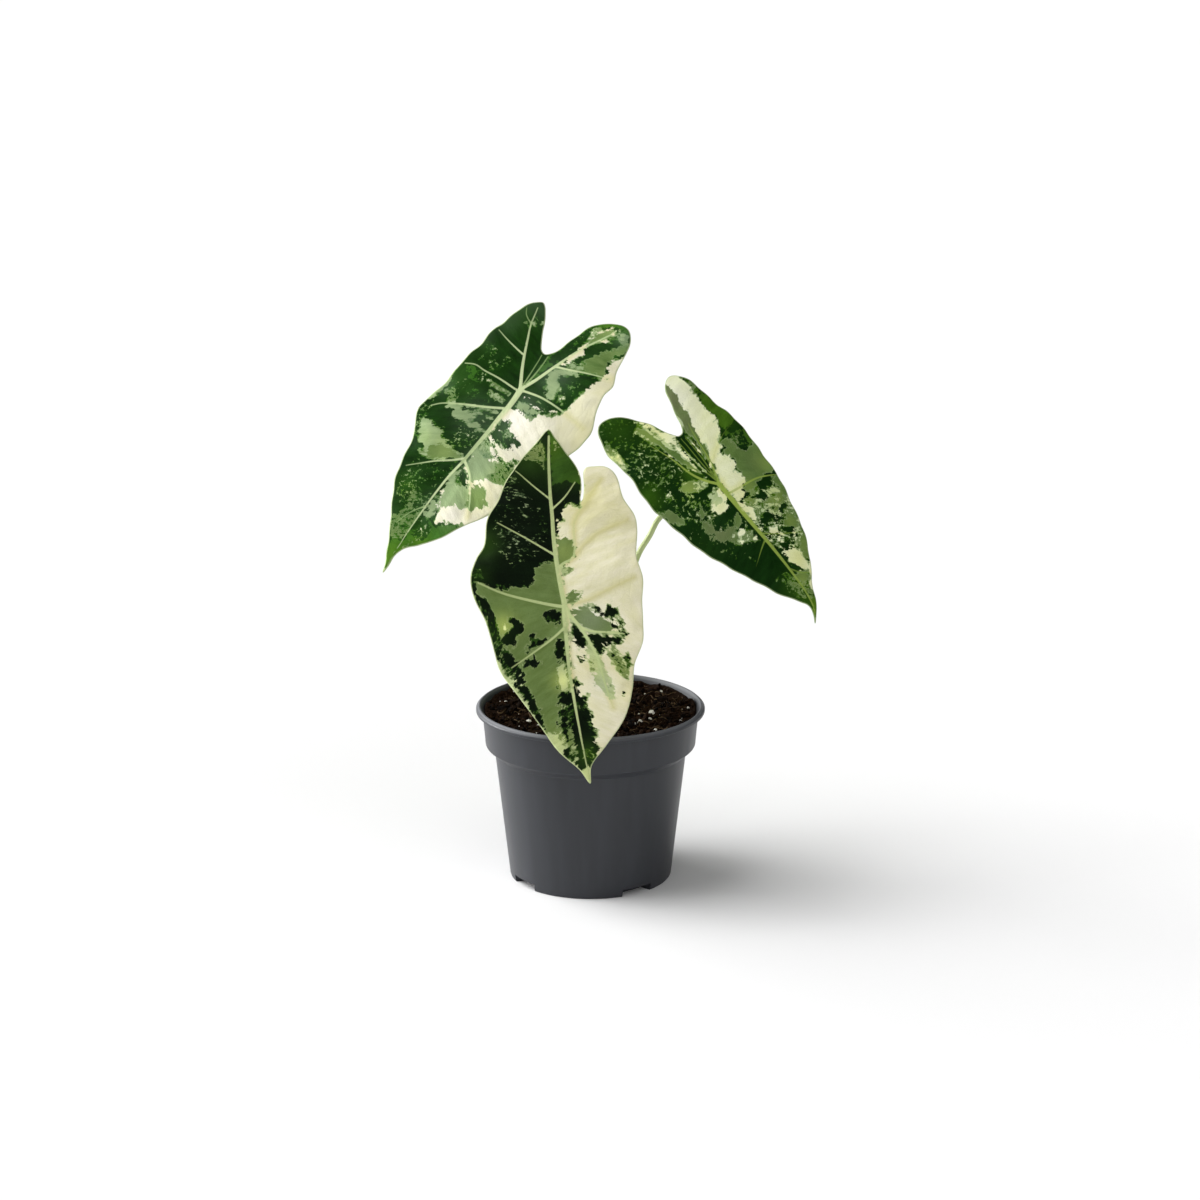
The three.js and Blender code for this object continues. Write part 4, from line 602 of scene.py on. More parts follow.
def to_line(places, line, closed=False):
    """Each place's distance to a polyline, and how far along it, from 0 to 1, the nearest point lies."""
    line = np.asarray(line, float)
    ends = np.roll(line, -1, axis=0) if closed else line[1:]
    starts = line if closed else line[:-1]
    step = ends - starts
    length = np.maximum((step ** 2).sum(1), 1e-12)
    reach = places[:, None, :] - starts[None]
    t = np.clip((reach * step).sum(2) / length, 0, 1)
    distance = np.hypot(reach[..., 0] - t * step[:, 0], reach[..., 1] - t * step[:, 1])
    nearest = distance.argmin(1)
    rows = np.arange(len(places))
    travelled = np.concatenate([[0], np.cumsum(np.sqrt(length))])
    where = travelled[nearest] + t[rows, nearest] * np.sqrt(length)[nearest]
    return distance[rows, nearest], where / travelled[-1]


def inside(places, border):
    """Which places lie inside a closed border."""
    x, y = places[:, 0][:, None], places[:, 1][:, None]
    a, b = np.asarray(border, float), np.roll(border, -1, axis=0)
    height = np.where(b[:, 1] == a[:, 1], 1e-12, b[:, 1] - a[:, 1])
    crossing = (b[:, 0] - a[:, 0]) * (y - a[:, 1]) / height + a[:, 0]
    crosses = ((a[:, 1] > y) != (b[:, 1] > y)) & (x < crossing)
    return crosses.sum(1) % 2 == 1


def inner_distance(places, border):
    """Distance to a closed border, positive inside it."""
    distance, _ = to_line(places, border, closed=True)
    return np.where(inside(places, border), distance, -distance)


def piece(name, points, faces, finishes, stands_for=(), sharp=38):
    """A mesh in millimetres as an object that rides on the plant's only body."""
    mesh = bpy.data.meshes.new(name)
    mesh.from_pydata((np.asarray(points) * MM).tolist(), [], [list(map(int, face)) for face in faces])
    for finish in finishes:
        mesh.materials.append(finish)
    mesh.validate()
    mesh.shade_smooth()
    mesh.set_sharp_from_angle(angle=math.radians(sharp))
    made = bpy.data.objects.new(name, mesh)
    bpy.context.scene.collection.objects.link(made)
    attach(made, "root")
    if stands_for:
        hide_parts(*stands_for)
    return made


def store(made, name, values):
    """Keeps one number, or one vector, for each point of a mesh, for its material to read."""
    values = np.asarray(values, np.float32)
    kind, field = ("FLOAT", "value") if values.ndim == 1 else ("FLOAT_VECTOR", "vector")
    made.data.attributes.new(name, kind, "POINT").data.foreach_set(field, values.ravel())


def grid_faces(rows, columns, wrap=False, first=0):
    """Quads between rows of points, each row closed on itself if wrap is true."""
    faces = []
    for row in range(rows - 1):
        for column in range(columns if wrap else columns - 1):
            after = (column + 1) % columns
            a, b = first + row * columns + column, first + row * columns + after
            faces.append((a, b, b + columns, a + columns))
    return faces


def lathe(profile, sides, centre=(0, 0)):
    """Points and faces of a closed profile of (radius, height), turned round the Z axis."""
    profile = list(profile)
    angles = np.arange(sides) * 2 * math.pi / sides
    points = [(centre[0], centre[1], profile[0][1])]
    for radius, height in profile[1:-1]:
        for angle in angles:
            x, y = radius * math.cos(angle), radius * math.sin(angle)
            points.append((centre[0] + x, centre[1] + y, height))
    points.append((centre[0], centre[1], profile[-1][1]))
    faces = grid_faces(len(profile) - 2, sides, wrap=True, first=1)
    last = 1 + (len(profile) - 3) * sides
    for side in range(sides):
        after = (side + 1) % sides
        faces.append((0, 1 + after, 1 + side))
        faces.append((len(points) - 1, last + side, last + after))
    return np.array(points, float), faces


def rounded(corner, before, after, radius, steps=5):
    """Points that round a profile's corner, between the corners before and after it."""
    corner, before, after = (np.array(p, float) for p in (corner, before, after))
    to_before = (before - corner) / np.linalg.norm(before - corner)
    to_after = (after - corner) / np.linalg.norm(after - corner)
    start, end = corner + to_before * radius, corner + to_after * radius
    return [tuple((1 - t) ** 2 * start + 2 * t * (1 - t) * corner + t * t * end)
            for t in np.linspace(0, 1, steps)]


# ---------------------------------------------------------------- materials

# the sockets of a Mix node that mixes colours: how much of the second, and the two colours
SHARE, FROM, TO = 0, 6, 7
COLOUR_MIX = {"out": 2, "data_type": "RGBA"}


def add(tree, kind, inputs=None, out=0, **settings):
    """Adds a node with its settings. An input is a value, or another node's output to link."""
    made = tree.nodes.new(kind)
    for name, value in settings.items():
        setattr(made, name, value)
    for name, value in (inputs or {}).items():
        if isinstance(value, bpy.types.NodeSocket):
            tree.links.new(value, made.inputs[name])
        else:
            made.inputs[name].default_value = value
    return made.outputs[out] if made.outputs else made


def finish_tree(name):
    """A new material with an empty tree."""
    made = bpy.data.materials.new(name)
    made.use_nodes = True
    made.node_tree.nodes.clear()
    return made, made.node_tree


def finish_skin(made, tree, inputs):
    """Ends a material's tree with its skin, which has the given inputs."""
    skin = add(tree, "ShaderNodeBsdfPrincipled", inputs)
    add(tree, "ShaderNodeOutputMaterial", {"Surface": skin})
    return made


def border_push(tree, field, place, flat, fleck_size, streaked):
    """How far, in mm, noise pushes the borders between the tones."""
    # a border wanders by a few mm, with scallops of about 2 mm and smaller teeth
    tear = add(tree, "ShaderNodeTexNoise", {"Vector": place, "Scale": 0.4, "Detail": 5, "Roughness": 0.72})
    tear = add(tree, "ShaderNodeMapRange", {"Value": tear, "To Min": -TEAR, "To Max": TEAR}, clamp=False)
    scallop = add(tree, "ShaderNodeTexVoronoi", {"Vector": flat, "Scale": 0.42}, out="Distance")
    scallop = add(tree, "ShaderNodeMapRange", {"Value": scallop, "To Min": 0.7, "To Max": -1.1}, clamp=False)
    wander = add(tree, "ShaderNodeMapRange", {"Value": field["fray"], "From Max": PLAIN_FRAY})
    # torn inks break further, into flecks of 1 to 3 mm; streaked ones are drawn out along the side veins
    torn = add(tree, "ShaderNodeMath", {0: field["fray"], 1: PLAIN_FRAY}, operation="SUBTRACT",
               use_clamp=True)
    fleck = add(tree, "ShaderNodeTexNoise", {"Vector": place if streaked else flat,
                                             "Scale": 1 / fleck_size, "Detail": 4,
                                             "Roughness": 0.66, "Distortion": 0.4})
    fleck = add(tree, "ShaderNodeMapRange", {"Value": fleck, "To Min": -FLECK_TEAR, "To Max": FLECK_TEAR},
                clamp=False)
    fleck = add(tree, "ShaderNodeMath", {0: fleck, 1: torn}, operation="MULTIPLY")
    push = add(tree, "ShaderNodeMath", {0: tear, 1: scallop}, operation="ADD")
    return add(tree, "ShaderNodeMath", {0: push, 1: wander, 2: fleck}, operation="MULTIPLY_ADD")


def laid_tones(tree, tones, field, place, flat, push):
    """The tones laid over each other, each brushed between two hues, and how far the last one covers."""
    # here and there a fringe of the tones between shows along a border
    fringe = add(tree, "ShaderNodeTexNoise", {"Vector": flat, "Scale": 0.13, "Detail": 2})
    fringe = add(tree, "ShaderNodeMapRange", {"Value": fringe, "From Min": 0.42, "From Max": 0.7,
                                              "To Max": 1.2})
    # brush strokes within a tone, 3 mm wide and drawn out along the side veins
    drawn_out = add(tree, "ShaderNodeVectorMath", {0: place, 1: (0.5, 1.0, 1.0)}, operation="MULTIPLY")
    stroke = add(tree, "ShaderNodeTexNoise", {"Vector": drawn_out, "Scale": 0.3, "Detail": 4,
                                              "Roughness": 0.62})
    stroke = add(tree, "ShaderNodeMapRange", {"Value": stroke, "From Min": 0.32, "From Max": 0.68})

    first, second, ashen = (linear(hue) for hue in tones["night"])
    colour = add(tree, "ShaderNodeMix", {SHARE: stroke, FROM: first, TO: second}, **COLOUR_MIX)
    # painted sheen: the dark ground turns to its ashen hue where the field of ashen spots is strong
    painted_sheen = add(tree, "ShaderNodeMath", {0: field["ash_and_sheen"], 1: NIGHT_SHEEN}, operation="MULTIPLY")
    colour = add(tree, "ShaderNodeMix", {SHARE: painted_sheen, FROM: colour, TO: ashen}, **COLOUR_MIX)
    colour = add(tree, "ShaderNodeMix", {SHARE: field["glow"], FROM: colour, TO: linear(tones["green"][0])},
                 **COLOUR_MIX)
    # painted shade in the folds along the veins, strongest at a vein's edge and gone 2.6 mm from it
    fold = add(tree, "ShaderNodeMapRange", {"Value": field["vein"], "From Min": 2.6, "From Max": 0.0,
                                            "To Max": 0.6})
    for order, tone in enumerate(TONES[1:]):
        depth = add(tree, "ShaderNodeMath", {0: field[f"to_{tone}"], 1: push}, operation="ADD")
        depth = add(tree, "ShaderNodeMath", {0: fringe, 1: 1.0 - order, 2: depth}, operation="MULTIPLY_ADD")
        cover = add(tree, "ShaderNodeMapRange", {"Value": depth, "From Min": -0.1, "From Max": 0.1})
        first, second, golden, ashen = (linear(hue) for hue in tones[tone])
        ink = add(tree, "ShaderNodeMix", {SHARE: stroke, FROM: first, TO: second}, **COLOUR_MIX)
        ink = add(tree, "ShaderNodeMix", {SHARE: field["gold"], FROM: ink, TO: golden}, **COLOUR_MIX)
        if tone in ("sage", "silver"):  # palest along its own border
            hem = add(tree, "ShaderNodeMapRange", {"Value": depth, "From Max": 0.8, "To Min": 0.35,
                                                   "To Max": 0.0})
            ink = add(tree, "ShaderNodeMix", {SHARE: hem, FROM: ink, TO: linear(tones["silver"][1])},
                      **COLOUR_MIX)
        ink = add(tree, "ShaderNodeMix", {SHARE: field["ash_and_sheen"], FROM: ink, TO: ashen}, **COLOUR_MIX)
        if tone == "cream":  # painted shade: darker and more golden in the folds along the veins
            ink = add(tree, "ShaderNodeMix", {SHARE: fold, FROM: ink, TO: golden}, **COLOUR_MIX)
        colour = add(tree, "ShaderNodeMix", {SHARE: cover, FROM: colour, TO: ink}, **COLOUR_MIX)
    return colour, cover


def laid_veins(tree, colour, cream, field, vein, margin):
    """Pale bands with soft edges for the veins, and a thin pale line for the margin, partly a painted
    highlight of light through its translucent edge.
    """
    band = add(tree, "ShaderNodeMapRange", {"Value": field["vein"], "From Min": 0.22, "From Max": -0.14})
    paleness = add(tree, "ShaderNodeMapRange", {"Value": field["vein_share"], "To Min": 0.5, "To Max": 0.96})
    band = add(tree, "ShaderNodeMath", {0: band, 1: paleness}, operation="MULTIPLY")
    # on cream ground only the strongest veins show
    hidden = add(tree, "ShaderNodeMapRange", {"Value": field["vein_share"], "From Min": 0.6, "From Max": 1.0,
                                              "To Min": 0.95, "To Max": 0.1})
    hidden = add(tree, "ShaderNodeMath", {0: hidden, 1: cream}, operation="MULTIPLY")
    hidden = add(tree, "ShaderNodeMath", {0: 1.0, 1: hidden}, operation="SUBTRACT")
    band = add(tree, "ShaderNodeMath", {0: band, 1: hidden}, operation="MULTIPLY")
    vein_hue = add(tree, "ShaderNodeMapRange", {"Value": field["vein_share"], "From Min": 0.3,
                                                "From Max": 0.9})
    vein_hue = add(tree, "ShaderNodeMix", {SHARE: vein_hue, FROM: linear(vein[1]), TO: linear(vein[0])},
                   **COLOUR_MIX)
    colour = add(tree, "ShaderNodeMix", {SHARE: band, FROM: colour, TO: vein_hue}, **COLOUR_MIX)
    # the margin's own paler edge, with a painted highlight of light catching it and shining through it
    edge = add(tree, "ShaderNodeMapRange", {"Value": field["rim"], "From Min": 0.6, "From Max": 0.3,
                                            "To Min": 0.0, "To Max": 0.7})
    return add(tree, "ShaderNodeMix", {SHARE: edge, FROM: colour, TO: linear(margin)}, **COLOUR_MIX)


def blade_finish(name, tones, vein, margin, fleck_size=1.6, streaked=False, under=False):
    """Leaf skin in five tones with torn borders, pale veins and a thin pale margin that carries a painted
    highlight.

    The veins turn from the first of their two hues to the second as they run out into the blade.

    On top it is velvety: countless tiny bumps scatter the light, so it shows a soft sheen and no gloss.
    The underside is smoother, paler and a little waxy.
    """
    made, tree = finish_tree(name)
    field = {}
    for wanted in ("fray", "vein", "vein_share", "rim", *SOFT_FIELDS, *(f"to_{tone}" for tone in TONES[1:])):
        field[wanted] = add(tree, "ShaderNodeAttribute", out="Fac", attribute_name=wanted)
    place = add(tree, "ShaderNodeAttribute", out="Vector", attribute_name="leaf_place")
    flat = add(tree, "ShaderNodeAttribute", out="Vector", attribute_name="leaf_flat")
    push = border_push(tree, field, place, flat, fleck_size, streaked)
    colour, cream = laid_tones(tree, tones, field, place, flat, push)
    colour = laid_veins(tree, colour, cream, field, vein, margin)

    # skin grain: cells of about 0.5 mm, drawn coarser than the real 0.1 mm so that they show
    grain = add(tree, "ShaderNodeTexNoise", {"Vector": flat, "Scale": 2.0, "Detail": 3, "Roughness": 0.6})
    shade = add(tree, "ShaderNodeMapRange", {"Value": grain, "From Min": 0.3, "From Max": 0.7,
                                             "To Min": 0.92, "To Max": 1.06})
    colour = add(tree, "ShaderNodeMix", {SHARE: 1.0, FROM: colour, TO: shade},
                 **COLOUR_MIX, blend_type="MULTIPLY")
    net = add(tree, "ShaderNodeTexVoronoi", {"Vector": place, "Scale": 0.55}, out="Distance",
              feature="DISTANCE_TO_EDGE")
    net = add(tree, "ShaderNodeMapRange", {"Value": net, "From Min": 0.0, "From Max": 0.12})
    relief = add(tree, "ShaderNodeMath", {0: grain, 1: net}, operation="ADD")
    normal = add(tree, "ShaderNodeBump", {"Strength": 0.3, "Distance": 0.00025, "Height": relief})
    rough = add(tree, "ShaderNodeMapRange", {"Value": grain, "To Min": 0.44 if under else 0.55,
                                             "To Max": 0.58 if under else 0.72})
    return finish_skin(made, tree, {
        "Base Color": colour, "Roughness": rough, "Normal": normal, "IOR": 1.42,
        "Specular IOR Level": 0.35 if under else 0.06,
        "Sheen Weight": 0.0 if under else 0.015, "Sheen Roughness": 0.4,
        "Sheen Tint": linear("#dfe9d2"),
    })


def stalk_finish():
    """Fleshy stalk skin: smooth, faintly waxy, pale green with fine darker streaks along it."""
    made, tree = finish_tree("petiole_skin")
    place = add(tree, "ShaderNodeAttribute", out="Vector", attribute_name="stalk_place")
    streak = add(tree, "ShaderNodeTexNoise", {"Vector": place, "Scale": 1.0, "Detail": 4, "Roughness": 0.6})
    streak = add(tree, "ShaderNodeMapRange", {"Value": streak, "From Min": 0.35, "From Max": 0.68})
    colour = add(tree, "ShaderNodeMix", {SHARE: streak, FROM: linear("#c6cf9c"), TO: linear("#a1b173")},
                 **COLOUR_MIX)
    foot = add(tree, "ShaderNodeAttribute", out="Fac", attribute_name="to_foot")
    colour = add(tree, "ShaderNodeMix", {SHARE: foot, FROM: colour, TO: linear("#c9b48f")}, **COLOUR_MIX)
    normal = add(tree, "ShaderNodeBump", {"Strength": 0.35, "Distance": 0.0002, "Height": streak})
    return finish_skin(made, tree, {
        "Base Color": colour, "Roughness": 0.42, "IOR": 1.42, "Normal": normal, "Specular IOR Level": 0.4})


def papery_finish():
    """Dead leaf base: thin, dry and brown, with close parallel fibres that catch the light."""
    made, tree = finish_tree("papery_sheath")
    place = add(tree, "ShaderNodeAttribute", out="Vector", attribute_name="stalk_place")
    fibre = add(tree, "ShaderNodeTexNoise", {"Vector": place, "Scale": 1.6, "Detail": 5, "Roughness": 0.7})
    fibre = add(tree, "ShaderNodeMapRange", {"Value": fibre, "From Min": 0.3, "From Max": 0.7})
    colour = add(tree, "ShaderNodeMix", {SHARE: fibre, FROM: linear("#5d4128"), TO: linear("#b0905c")},
                 **COLOUR_MIX)
    normal = add(tree, "ShaderNodeBump", {"Strength": 0.5, "Distance": 0.0003, "Height": fibre})
    return finish_skin(made, tree, {
        "Base Color": colour, "Roughness": 0.7, "Normal": normal, "IOR": 1.45})


def crown_finish():
    """Rhizome skin: firm and fleshy, green above, corky brown in the leaf scars and near the soil."""
    made, tree = finish_tree("crown_skin")
    where = add(tree, "ShaderNodeTexCoord", out="Object")
    ring = add(tree, "ShaderNodeAttribute", out="Fac", attribute_name="scar")
    cork = add(tree, "ShaderNodeTexNoise", {"Vector": where, "Scale": 420.0, "Detail": 5, "Roughness": 0.65})
    share = add(tree, "ShaderNodeMath", {0: ring, 1: cork}, operation="ADD")
    share = add(tree, "ShaderNodeMapRange", {"Value": share, "From Min": 0.55, "From Max": 0.95})
    colour = add(tree, "ShaderNodeMix", {SHARE: share, FROM: linear("#97a365"), TO: linear("#6b4f31")},
                 **COLOUR_MIX)
    normal = add(tree, "ShaderNodeBump", {"Strength": 0.5, "Distance": 0.0004, "Height": cork})
    return finish_skin(made, tree, {
        "Base Color": colour, "Roughness": 0.62, "Normal": normal, "IOR": 1.42})


def peat_finish(name, dark, light):
    """Potting mix: damp peat and bark, nearly black and matt, with brown crumbs and a few damp glints."""
    made, tree = finish_tree(name)
    where = add(tree, "ShaderNodeTexCoord", out="Object")
    crumb = add(tree, "ShaderNodeTexNoise", {"Vector": where, "Scale": 700.0, "Detail": 6, "Roughness": 0.7})
    tint = add(tree, "ShaderNodeAttribute", out="Fac", attribute_name="tint")
    share = add(tree, "ShaderNodeMath", {0: crumb, 1: tint}, operation="MULTIPLY")
    share = add(tree, "ShaderNodeMapRange", {"Value": share, "From Min": 0.1, "From Max": 0.6})
    colour = add(tree, "ShaderNodeMix", {SHARE: share, FROM: linear(dark), TO: linear(light)}, **COLOUR_MIX)
    damp = add(tree, "ShaderNodeMapRange", {"Value": crumb, "From Min": 0.35, "From Max": 0.65,
                                            "To Min": 0.95, "To Max": 0.6})
    normal = add(tree, "ShaderNodeBump", {"Strength": 0.8, "Distance": 0.0005, "Height": crumb})
    return finish_skin(made, tree, {
        "Base Color": colour, "Roughness": damp, "Normal": normal, "IOR": 1.45, "Specular IOR Level": 0.06})


def perlite_finish():
    """Expanded perlite: chalky white volcanic glass, matt, with pores and patches of soil dust."""
    made, tree = finish_tree("perlite_chalk")
    where = add(tree, "ShaderNodeTexCoord", out="Object")
    pores = add(tree, "ShaderNodeTexVoronoi", {"Vector": where, "Scale": 2200.0})
    dust = add(tree, "ShaderNodeTexNoise", {"Vector": where, "Scale": 900.0, "Detail": 4, "Roughness": 0.6})
    dust = add(tree, "ShaderNodeMapRange", {"Value": dust, "From Min": 0.5, "From Max": 0.75})
    colour = add(tree, "ShaderNodeMix", {SHARE: dust, FROM: linear("#e9e6dc"), TO: linear("#8f7c66")},
                 **COLOUR_MIX)
    normal = add(tree, "ShaderNodeBump", {"Strength": 0.6, "Distance": 0.0002, "Height": pores})
    return finish_skin(made, tree, {
        "Base Color": colour, "Roughness": 0.85, "Normal": normal, "IOR": 1.5})


def pot_finish():
    """Moulded polypropylene: dark grey and satin, with faint flow marks, scuffs and a painted highlight on
    the lip.
    """
    made, tree = finish_tree("moulded_polypropylene")
    where = add(tree, "ShaderNodeTexCoord", out="Object")
    # flow marks run up the wall, about 6 mm wide
    drawn_out = add(tree, "ShaderNodeVectorMath", {0: where, 1: (160.0, 160.0, 12.0)}, operation="MULTIPLY")
    flow = add(tree, "ShaderNodeTexNoise", {"Vector": drawn_out, "Scale": 1.0, "Detail": 3,
                                            "Roughness": 0.5})
    flow = add(tree, "ShaderNodeMapRange", {"Value": flow, "From Min": 0.3, "From Max": 0.7})
    colour = add(tree, "ShaderNodeMix", {SHARE: flow, FROM: linear("#2b2d31"), TO: linear("#303237")},
                 **COLOUR_MIX)
    # scuffs: thin pale rubs, 0.5 mm wide
    rub = add(tree, "ShaderNodeVectorMath", {0: where, 1: (400.0, 400.0, 1500.0)}, operation="MULTIPLY")
    rub = add(tree, "ShaderNodeTexNoise", {"Vector": rub, "Scale": 1.0, "Detail": 5, "Roughness": 0.7})
    rub = add(tree, "ShaderNodeMapRange", {"Value": rub, "From Min": 0.66, "From Max": 0.8, "To Max": 0.35})
    colour = add(tree, "ShaderNodeMix", {SHARE: rub, FROM: colour, TO: linear("#505256")}, **COLOUR_MIX)
    # a painted highlight: the lip is paler from 91.4 mm up to its crest
    height = add(tree, "ShaderNodeSeparateXYZ", {"Vector": where}, out="Z")
    lip_highlight = add(tree, "ShaderNodeMapRange", {"Value": height, "From Min": 0.0914, "From Max": 0.0926,
                                            "To Max": 0.75})
    colour = add(tree, "ShaderNodeMix", {SHARE: lip_highlight, FROM: colour, TO: linear("#6c6e72")}, **COLOUR_MIX)
    # the moulding tool's fine spark texture, 0.5 mm, drawn coarser than the real 0.1 mm
    spark = add(tree, "ShaderNodeTexNoise", {"Vector": where, "Scale": 1800.0, "Detail": 2,
                                             "Roughness": 0.5})
    normal = add(tree, "ShaderNodeBump", {"Strength": 0.12, "Distance": 0.0002, "Height": spark})
    rough = add(tree, "ShaderNodeMapRange", {"Value": flow, "To Min": 0.38, "To Max": 0.46})
    return finish_skin(made, tree, {
        "Base Color": colour, "Roughness": rough, "Normal": normal, "IOR": 1.49,
        "Specular IOR Level": 0.34})


# ---------------------------------------------------------------- pot


def sector(inner, outer, low, high, centre, half_angle, steps=16):
    """A block between two radii and two heights, half_angle degrees to each side of centre."""
    angles = np.radians(np.linspace(centre - half_angle, centre + half_angle, steps))
    points = []
    for angle in angles:
        for radius, height in ((inner, low), (outer, low), (outer, high), (inner, high)):
            points.append((radius * math.cos(angle), radius * math.sin(angle), height))
    faces = grid_faces(steps, 4, wrap=True)
    last = (steps - 1) * 4
    return np.array(points), faces + [(0, 1, 2, 3), (last + 3, last + 2, last + 1, last)]


def loose(parts):
    """Several blocks as one object, for a Boolean modifier."""
    points, faces, first = [], [], 0
    for part_points, part_faces in parts:
        points.extend(part_points)
        faces.extend([tuple(first + i for i in face) for face in part_faces])
        first += len(part_points)
    mesh = bpy.data.meshes.new("cutter")
    mesh.from_pydata((np.array(points) * MM).tolist(), [], faces)
    shape = bmesh.new()
    shape.from_mesh(mesh)
    bmesh.ops.recalc_face_normals(shape, faces=shape.faces)
    shape.to_mesh(mesh)
    shape.free()
    made = bpy.data.objects.new("cutter", mesh)
    bpy.context.scene.collection.objects.link(made)
    return made


def pot_profile():
    """The wall's closed section: up the outside, over the lip and down the inside, with rounded corners."""
    corners = [
        ((0, 0), 0), ((FOOT_RADIUS, 0), 0.9), ((SHOULDER_RADIUS, SHOULDER_HEIGHT), 0.9),
        ((BAND_FOOT_RADIUS, BAND_FOOT_HEIGHT), 0.6), ((BAND_TOP_RADIUS, LIP_FOOT_HEIGHT), 0.5),
        ((LIP_RADIUS, LIP_FOOT_HEIGHT), 0.5), ((LIP_RADIUS, LIP_EDGE_HEIGHT), 0.6), (LIP_GROOVE, 0.3),
        ((LIP_CREST_RADIUS, POT_HEIGHT), 0.5), ((LIP_INNER_RADIUS, POT_HEIGHT), 0.35),
        ((BAND_TOP_RADIUS - WALL, LIP_FOOT_HEIGHT), 0.8),
        ((BAND_FOOT_RADIUS - WALL, BAND_FOOT_HEIGHT + WALL / 2), 0.8),
        ((SHOULDER_RADIUS - WALL, SHOULDER_HEIGHT + WALL / 2), 0.8),
        ((FOOT_RADIUS - WALL, FLOOR), 0.5), ((0, FLOOR), 0),
    ]
    profile = []
    for i, (corner, radius) in enumerate(corners):
        if radius:
            profile += rounded(corner, corners[i - 1][0], corners[i + 1][0], radius)
        else:
            profile.append(corner)
    return profile


def make_pot(finish):
    """The turned shell. Four notches are cut into its foot, each with a pocket and a drain hole inside."""
    points, faces = lathe(pot_profile(), POT_SIDES)
    pot = piece("nursery_pot", points, faces, [finish], ["pot"])
    pocket_half_angle = NOTCH_HALF_ANGLE + math.degrees(WALL / NOTCH_INNER_RADIUS)
    drain_reach = (NOTCH_INNER_RADIUS + FOOT_RADIUS - WALL) / 2
    low, high = NOTCH_HEIGHT - WALL, NOTCH_HEIGHT + 3 * WALL
    pockets, notches, drains = [], [], []
    for angle in NOTCH_ANGLES:
        pockets.append(sector(NOTCH_INNER_RADIUS - WALL, FOOT_RADIUS - WALL / 4, FLOOR / 2,
                              NOTCH_HEIGHT + WALL, angle, pocket_half_angle))
        notches.append(sector(NOTCH_INNER_RADIUS, LIP_RADIUS, -FLOOR, NOTCH_HEIGHT, angle,
                              NOTCH_HALF_ANGLE))
        centre = (drain_reach * math.cos(math.radians(angle)), drain_reach * math.sin(math.radians(angle)))
        drains.append(lathe([(0, low), (DRAIN_RADIUS, low), (DRAIN_RADIUS, high), (0, high)], 24, centre))
    for operation, parts in (("UNION", pockets), ("DIFFERENCE", notches), ("DIFFERENCE", drains)):
        cutter = loose(parts)
        cut = pot.modifiers.new("cut", "BOOLEAN")
        cut.operation = operation
        cut.object = cutter
        cut.solver = "EXACT"
        bpy.context.view_layer.update()
        evaluated = pot.evaluated_get(bpy.context.evaluated_depsgraph_get())
        mesh = bpy.data.meshes.new_from_object(evaluated)
        pot.modifiers.clear()
        pot.data = mesh
        bpy.data.objects.remove(cutter)
    pot.data.materials.clear()
    pot.data.materials.append(finish)
    pot.data.shade_smooth()
    pot.data.set_sharp_from_angle(angle=math.radians(32))


# ---------------------------------------------------------------- soil


def rough_noise(x, y, size, salt):
    """Smooth noise with lumps of about the given size; each salt gives another pattern."""
    return noise.noise(Vector((x / size, y / size, salt)))


def soil_height(x, y):
    """Height of the soil: the broad lumps, and clods of about 5 and 2 mm on them."""
    broad = 0.9 * math.sin(x / 7.3 + 1.1) * math.cos(y / 6.1 - 0.4)
    broad += 0.6 * math.sin(x / 3.1 + y / 4.7) + 0.5 * math.cos(x / 5.3 - y / 2.9)
    clods = 0.9 * rough_noise(x, y, 5, 3.7) + 0.55 * rough_noise(x, y, 2.1, 9.1)
    climb = SOIL_CLIMB * smooth(50, SOIL_TOP_RADIUS, math.hypot(x, y))
    return SOIL_HEIGHT + 0.8 * broad + clods + climb


def make_soil_bed(finish):
    """The soil's surface in fine rings, and its sides down to the pot's floor."""
    rings, sides = 62, 210
    gap = 0.5  # between the soil and the pot's wall
    foot = FLOOR + 0.3
    pocket_top, pocket_start = 6, 33  # the pot's notch pockets stand up into the soil
    wall = [
        (0, foot), (30, foot), (FOOT_RADIUS - WALL - 0.6, foot),
        (SHOULDER_RADIUS - WALL - gap, SHOULDER_HEIGHT),
        (BAND_FOOT_RADIUS - WALL - gap, BAND_FOOT_HEIGHT + WALL),
        (SOIL_TOP_RADIUS - 0.3, SOIL_HEIGHT - 4),
    ]
    top = [(SOIL_TOP_RADIUS * k / rings, SOIL_HEIGHT) for k in range(rings, -1, -1)]
    points, faces = lathe(wall + top, sides)
    for i, (x, y, z) in enumerate(points):
        if z > SOIL_HEIGHT - 1:
            points[i, 2] = soil_height(x, y)
        elif z < pocket_top and math.hypot(x, y) > pocket_start:
            points[i, 2] = pocket_top
    bed = piece("soil_bed", points, faces, [finish], ["soil"], sharp=180)
    store(bed, "tint", [0.7] * len(points))


def ball(subdivisions):
    """Points and triangles of a ball with a radius of 1."""
    shape = bmesh.new()
    bmesh.ops.create_icosphere(shape, subdivisions=subdivisions, radius=1)
    points = np.array([v.co[:] for v in shape.verts])
    faces = np.array([[v.index for v in f.verts] for f in shape.faces])
    shape.free()
    return points, faces


def turned_at_random():
    """A random turn, as a 3 by 3 matrix."""
    axis = draw.normal(size=3)
    return np.array(Matrix.Rotation(draw.uniform(0, math.tau), 3, Vector(axis).normalized()))


def soil_place(reach):
    """A random place on the soil, clear of the crown."""
    while True:
        radius, angle = reach * math.sqrt(draw.uniform(0, 1)), draw.uniform(0, math.tau)
        x, y = radius * math.cos(angle), radius * math.sin(angle)
        if math.hypot(x - CROWN_CENTRE[0], y - CROWN_CENTRE[1]) > CROWN_RADIUS:
            return x, y


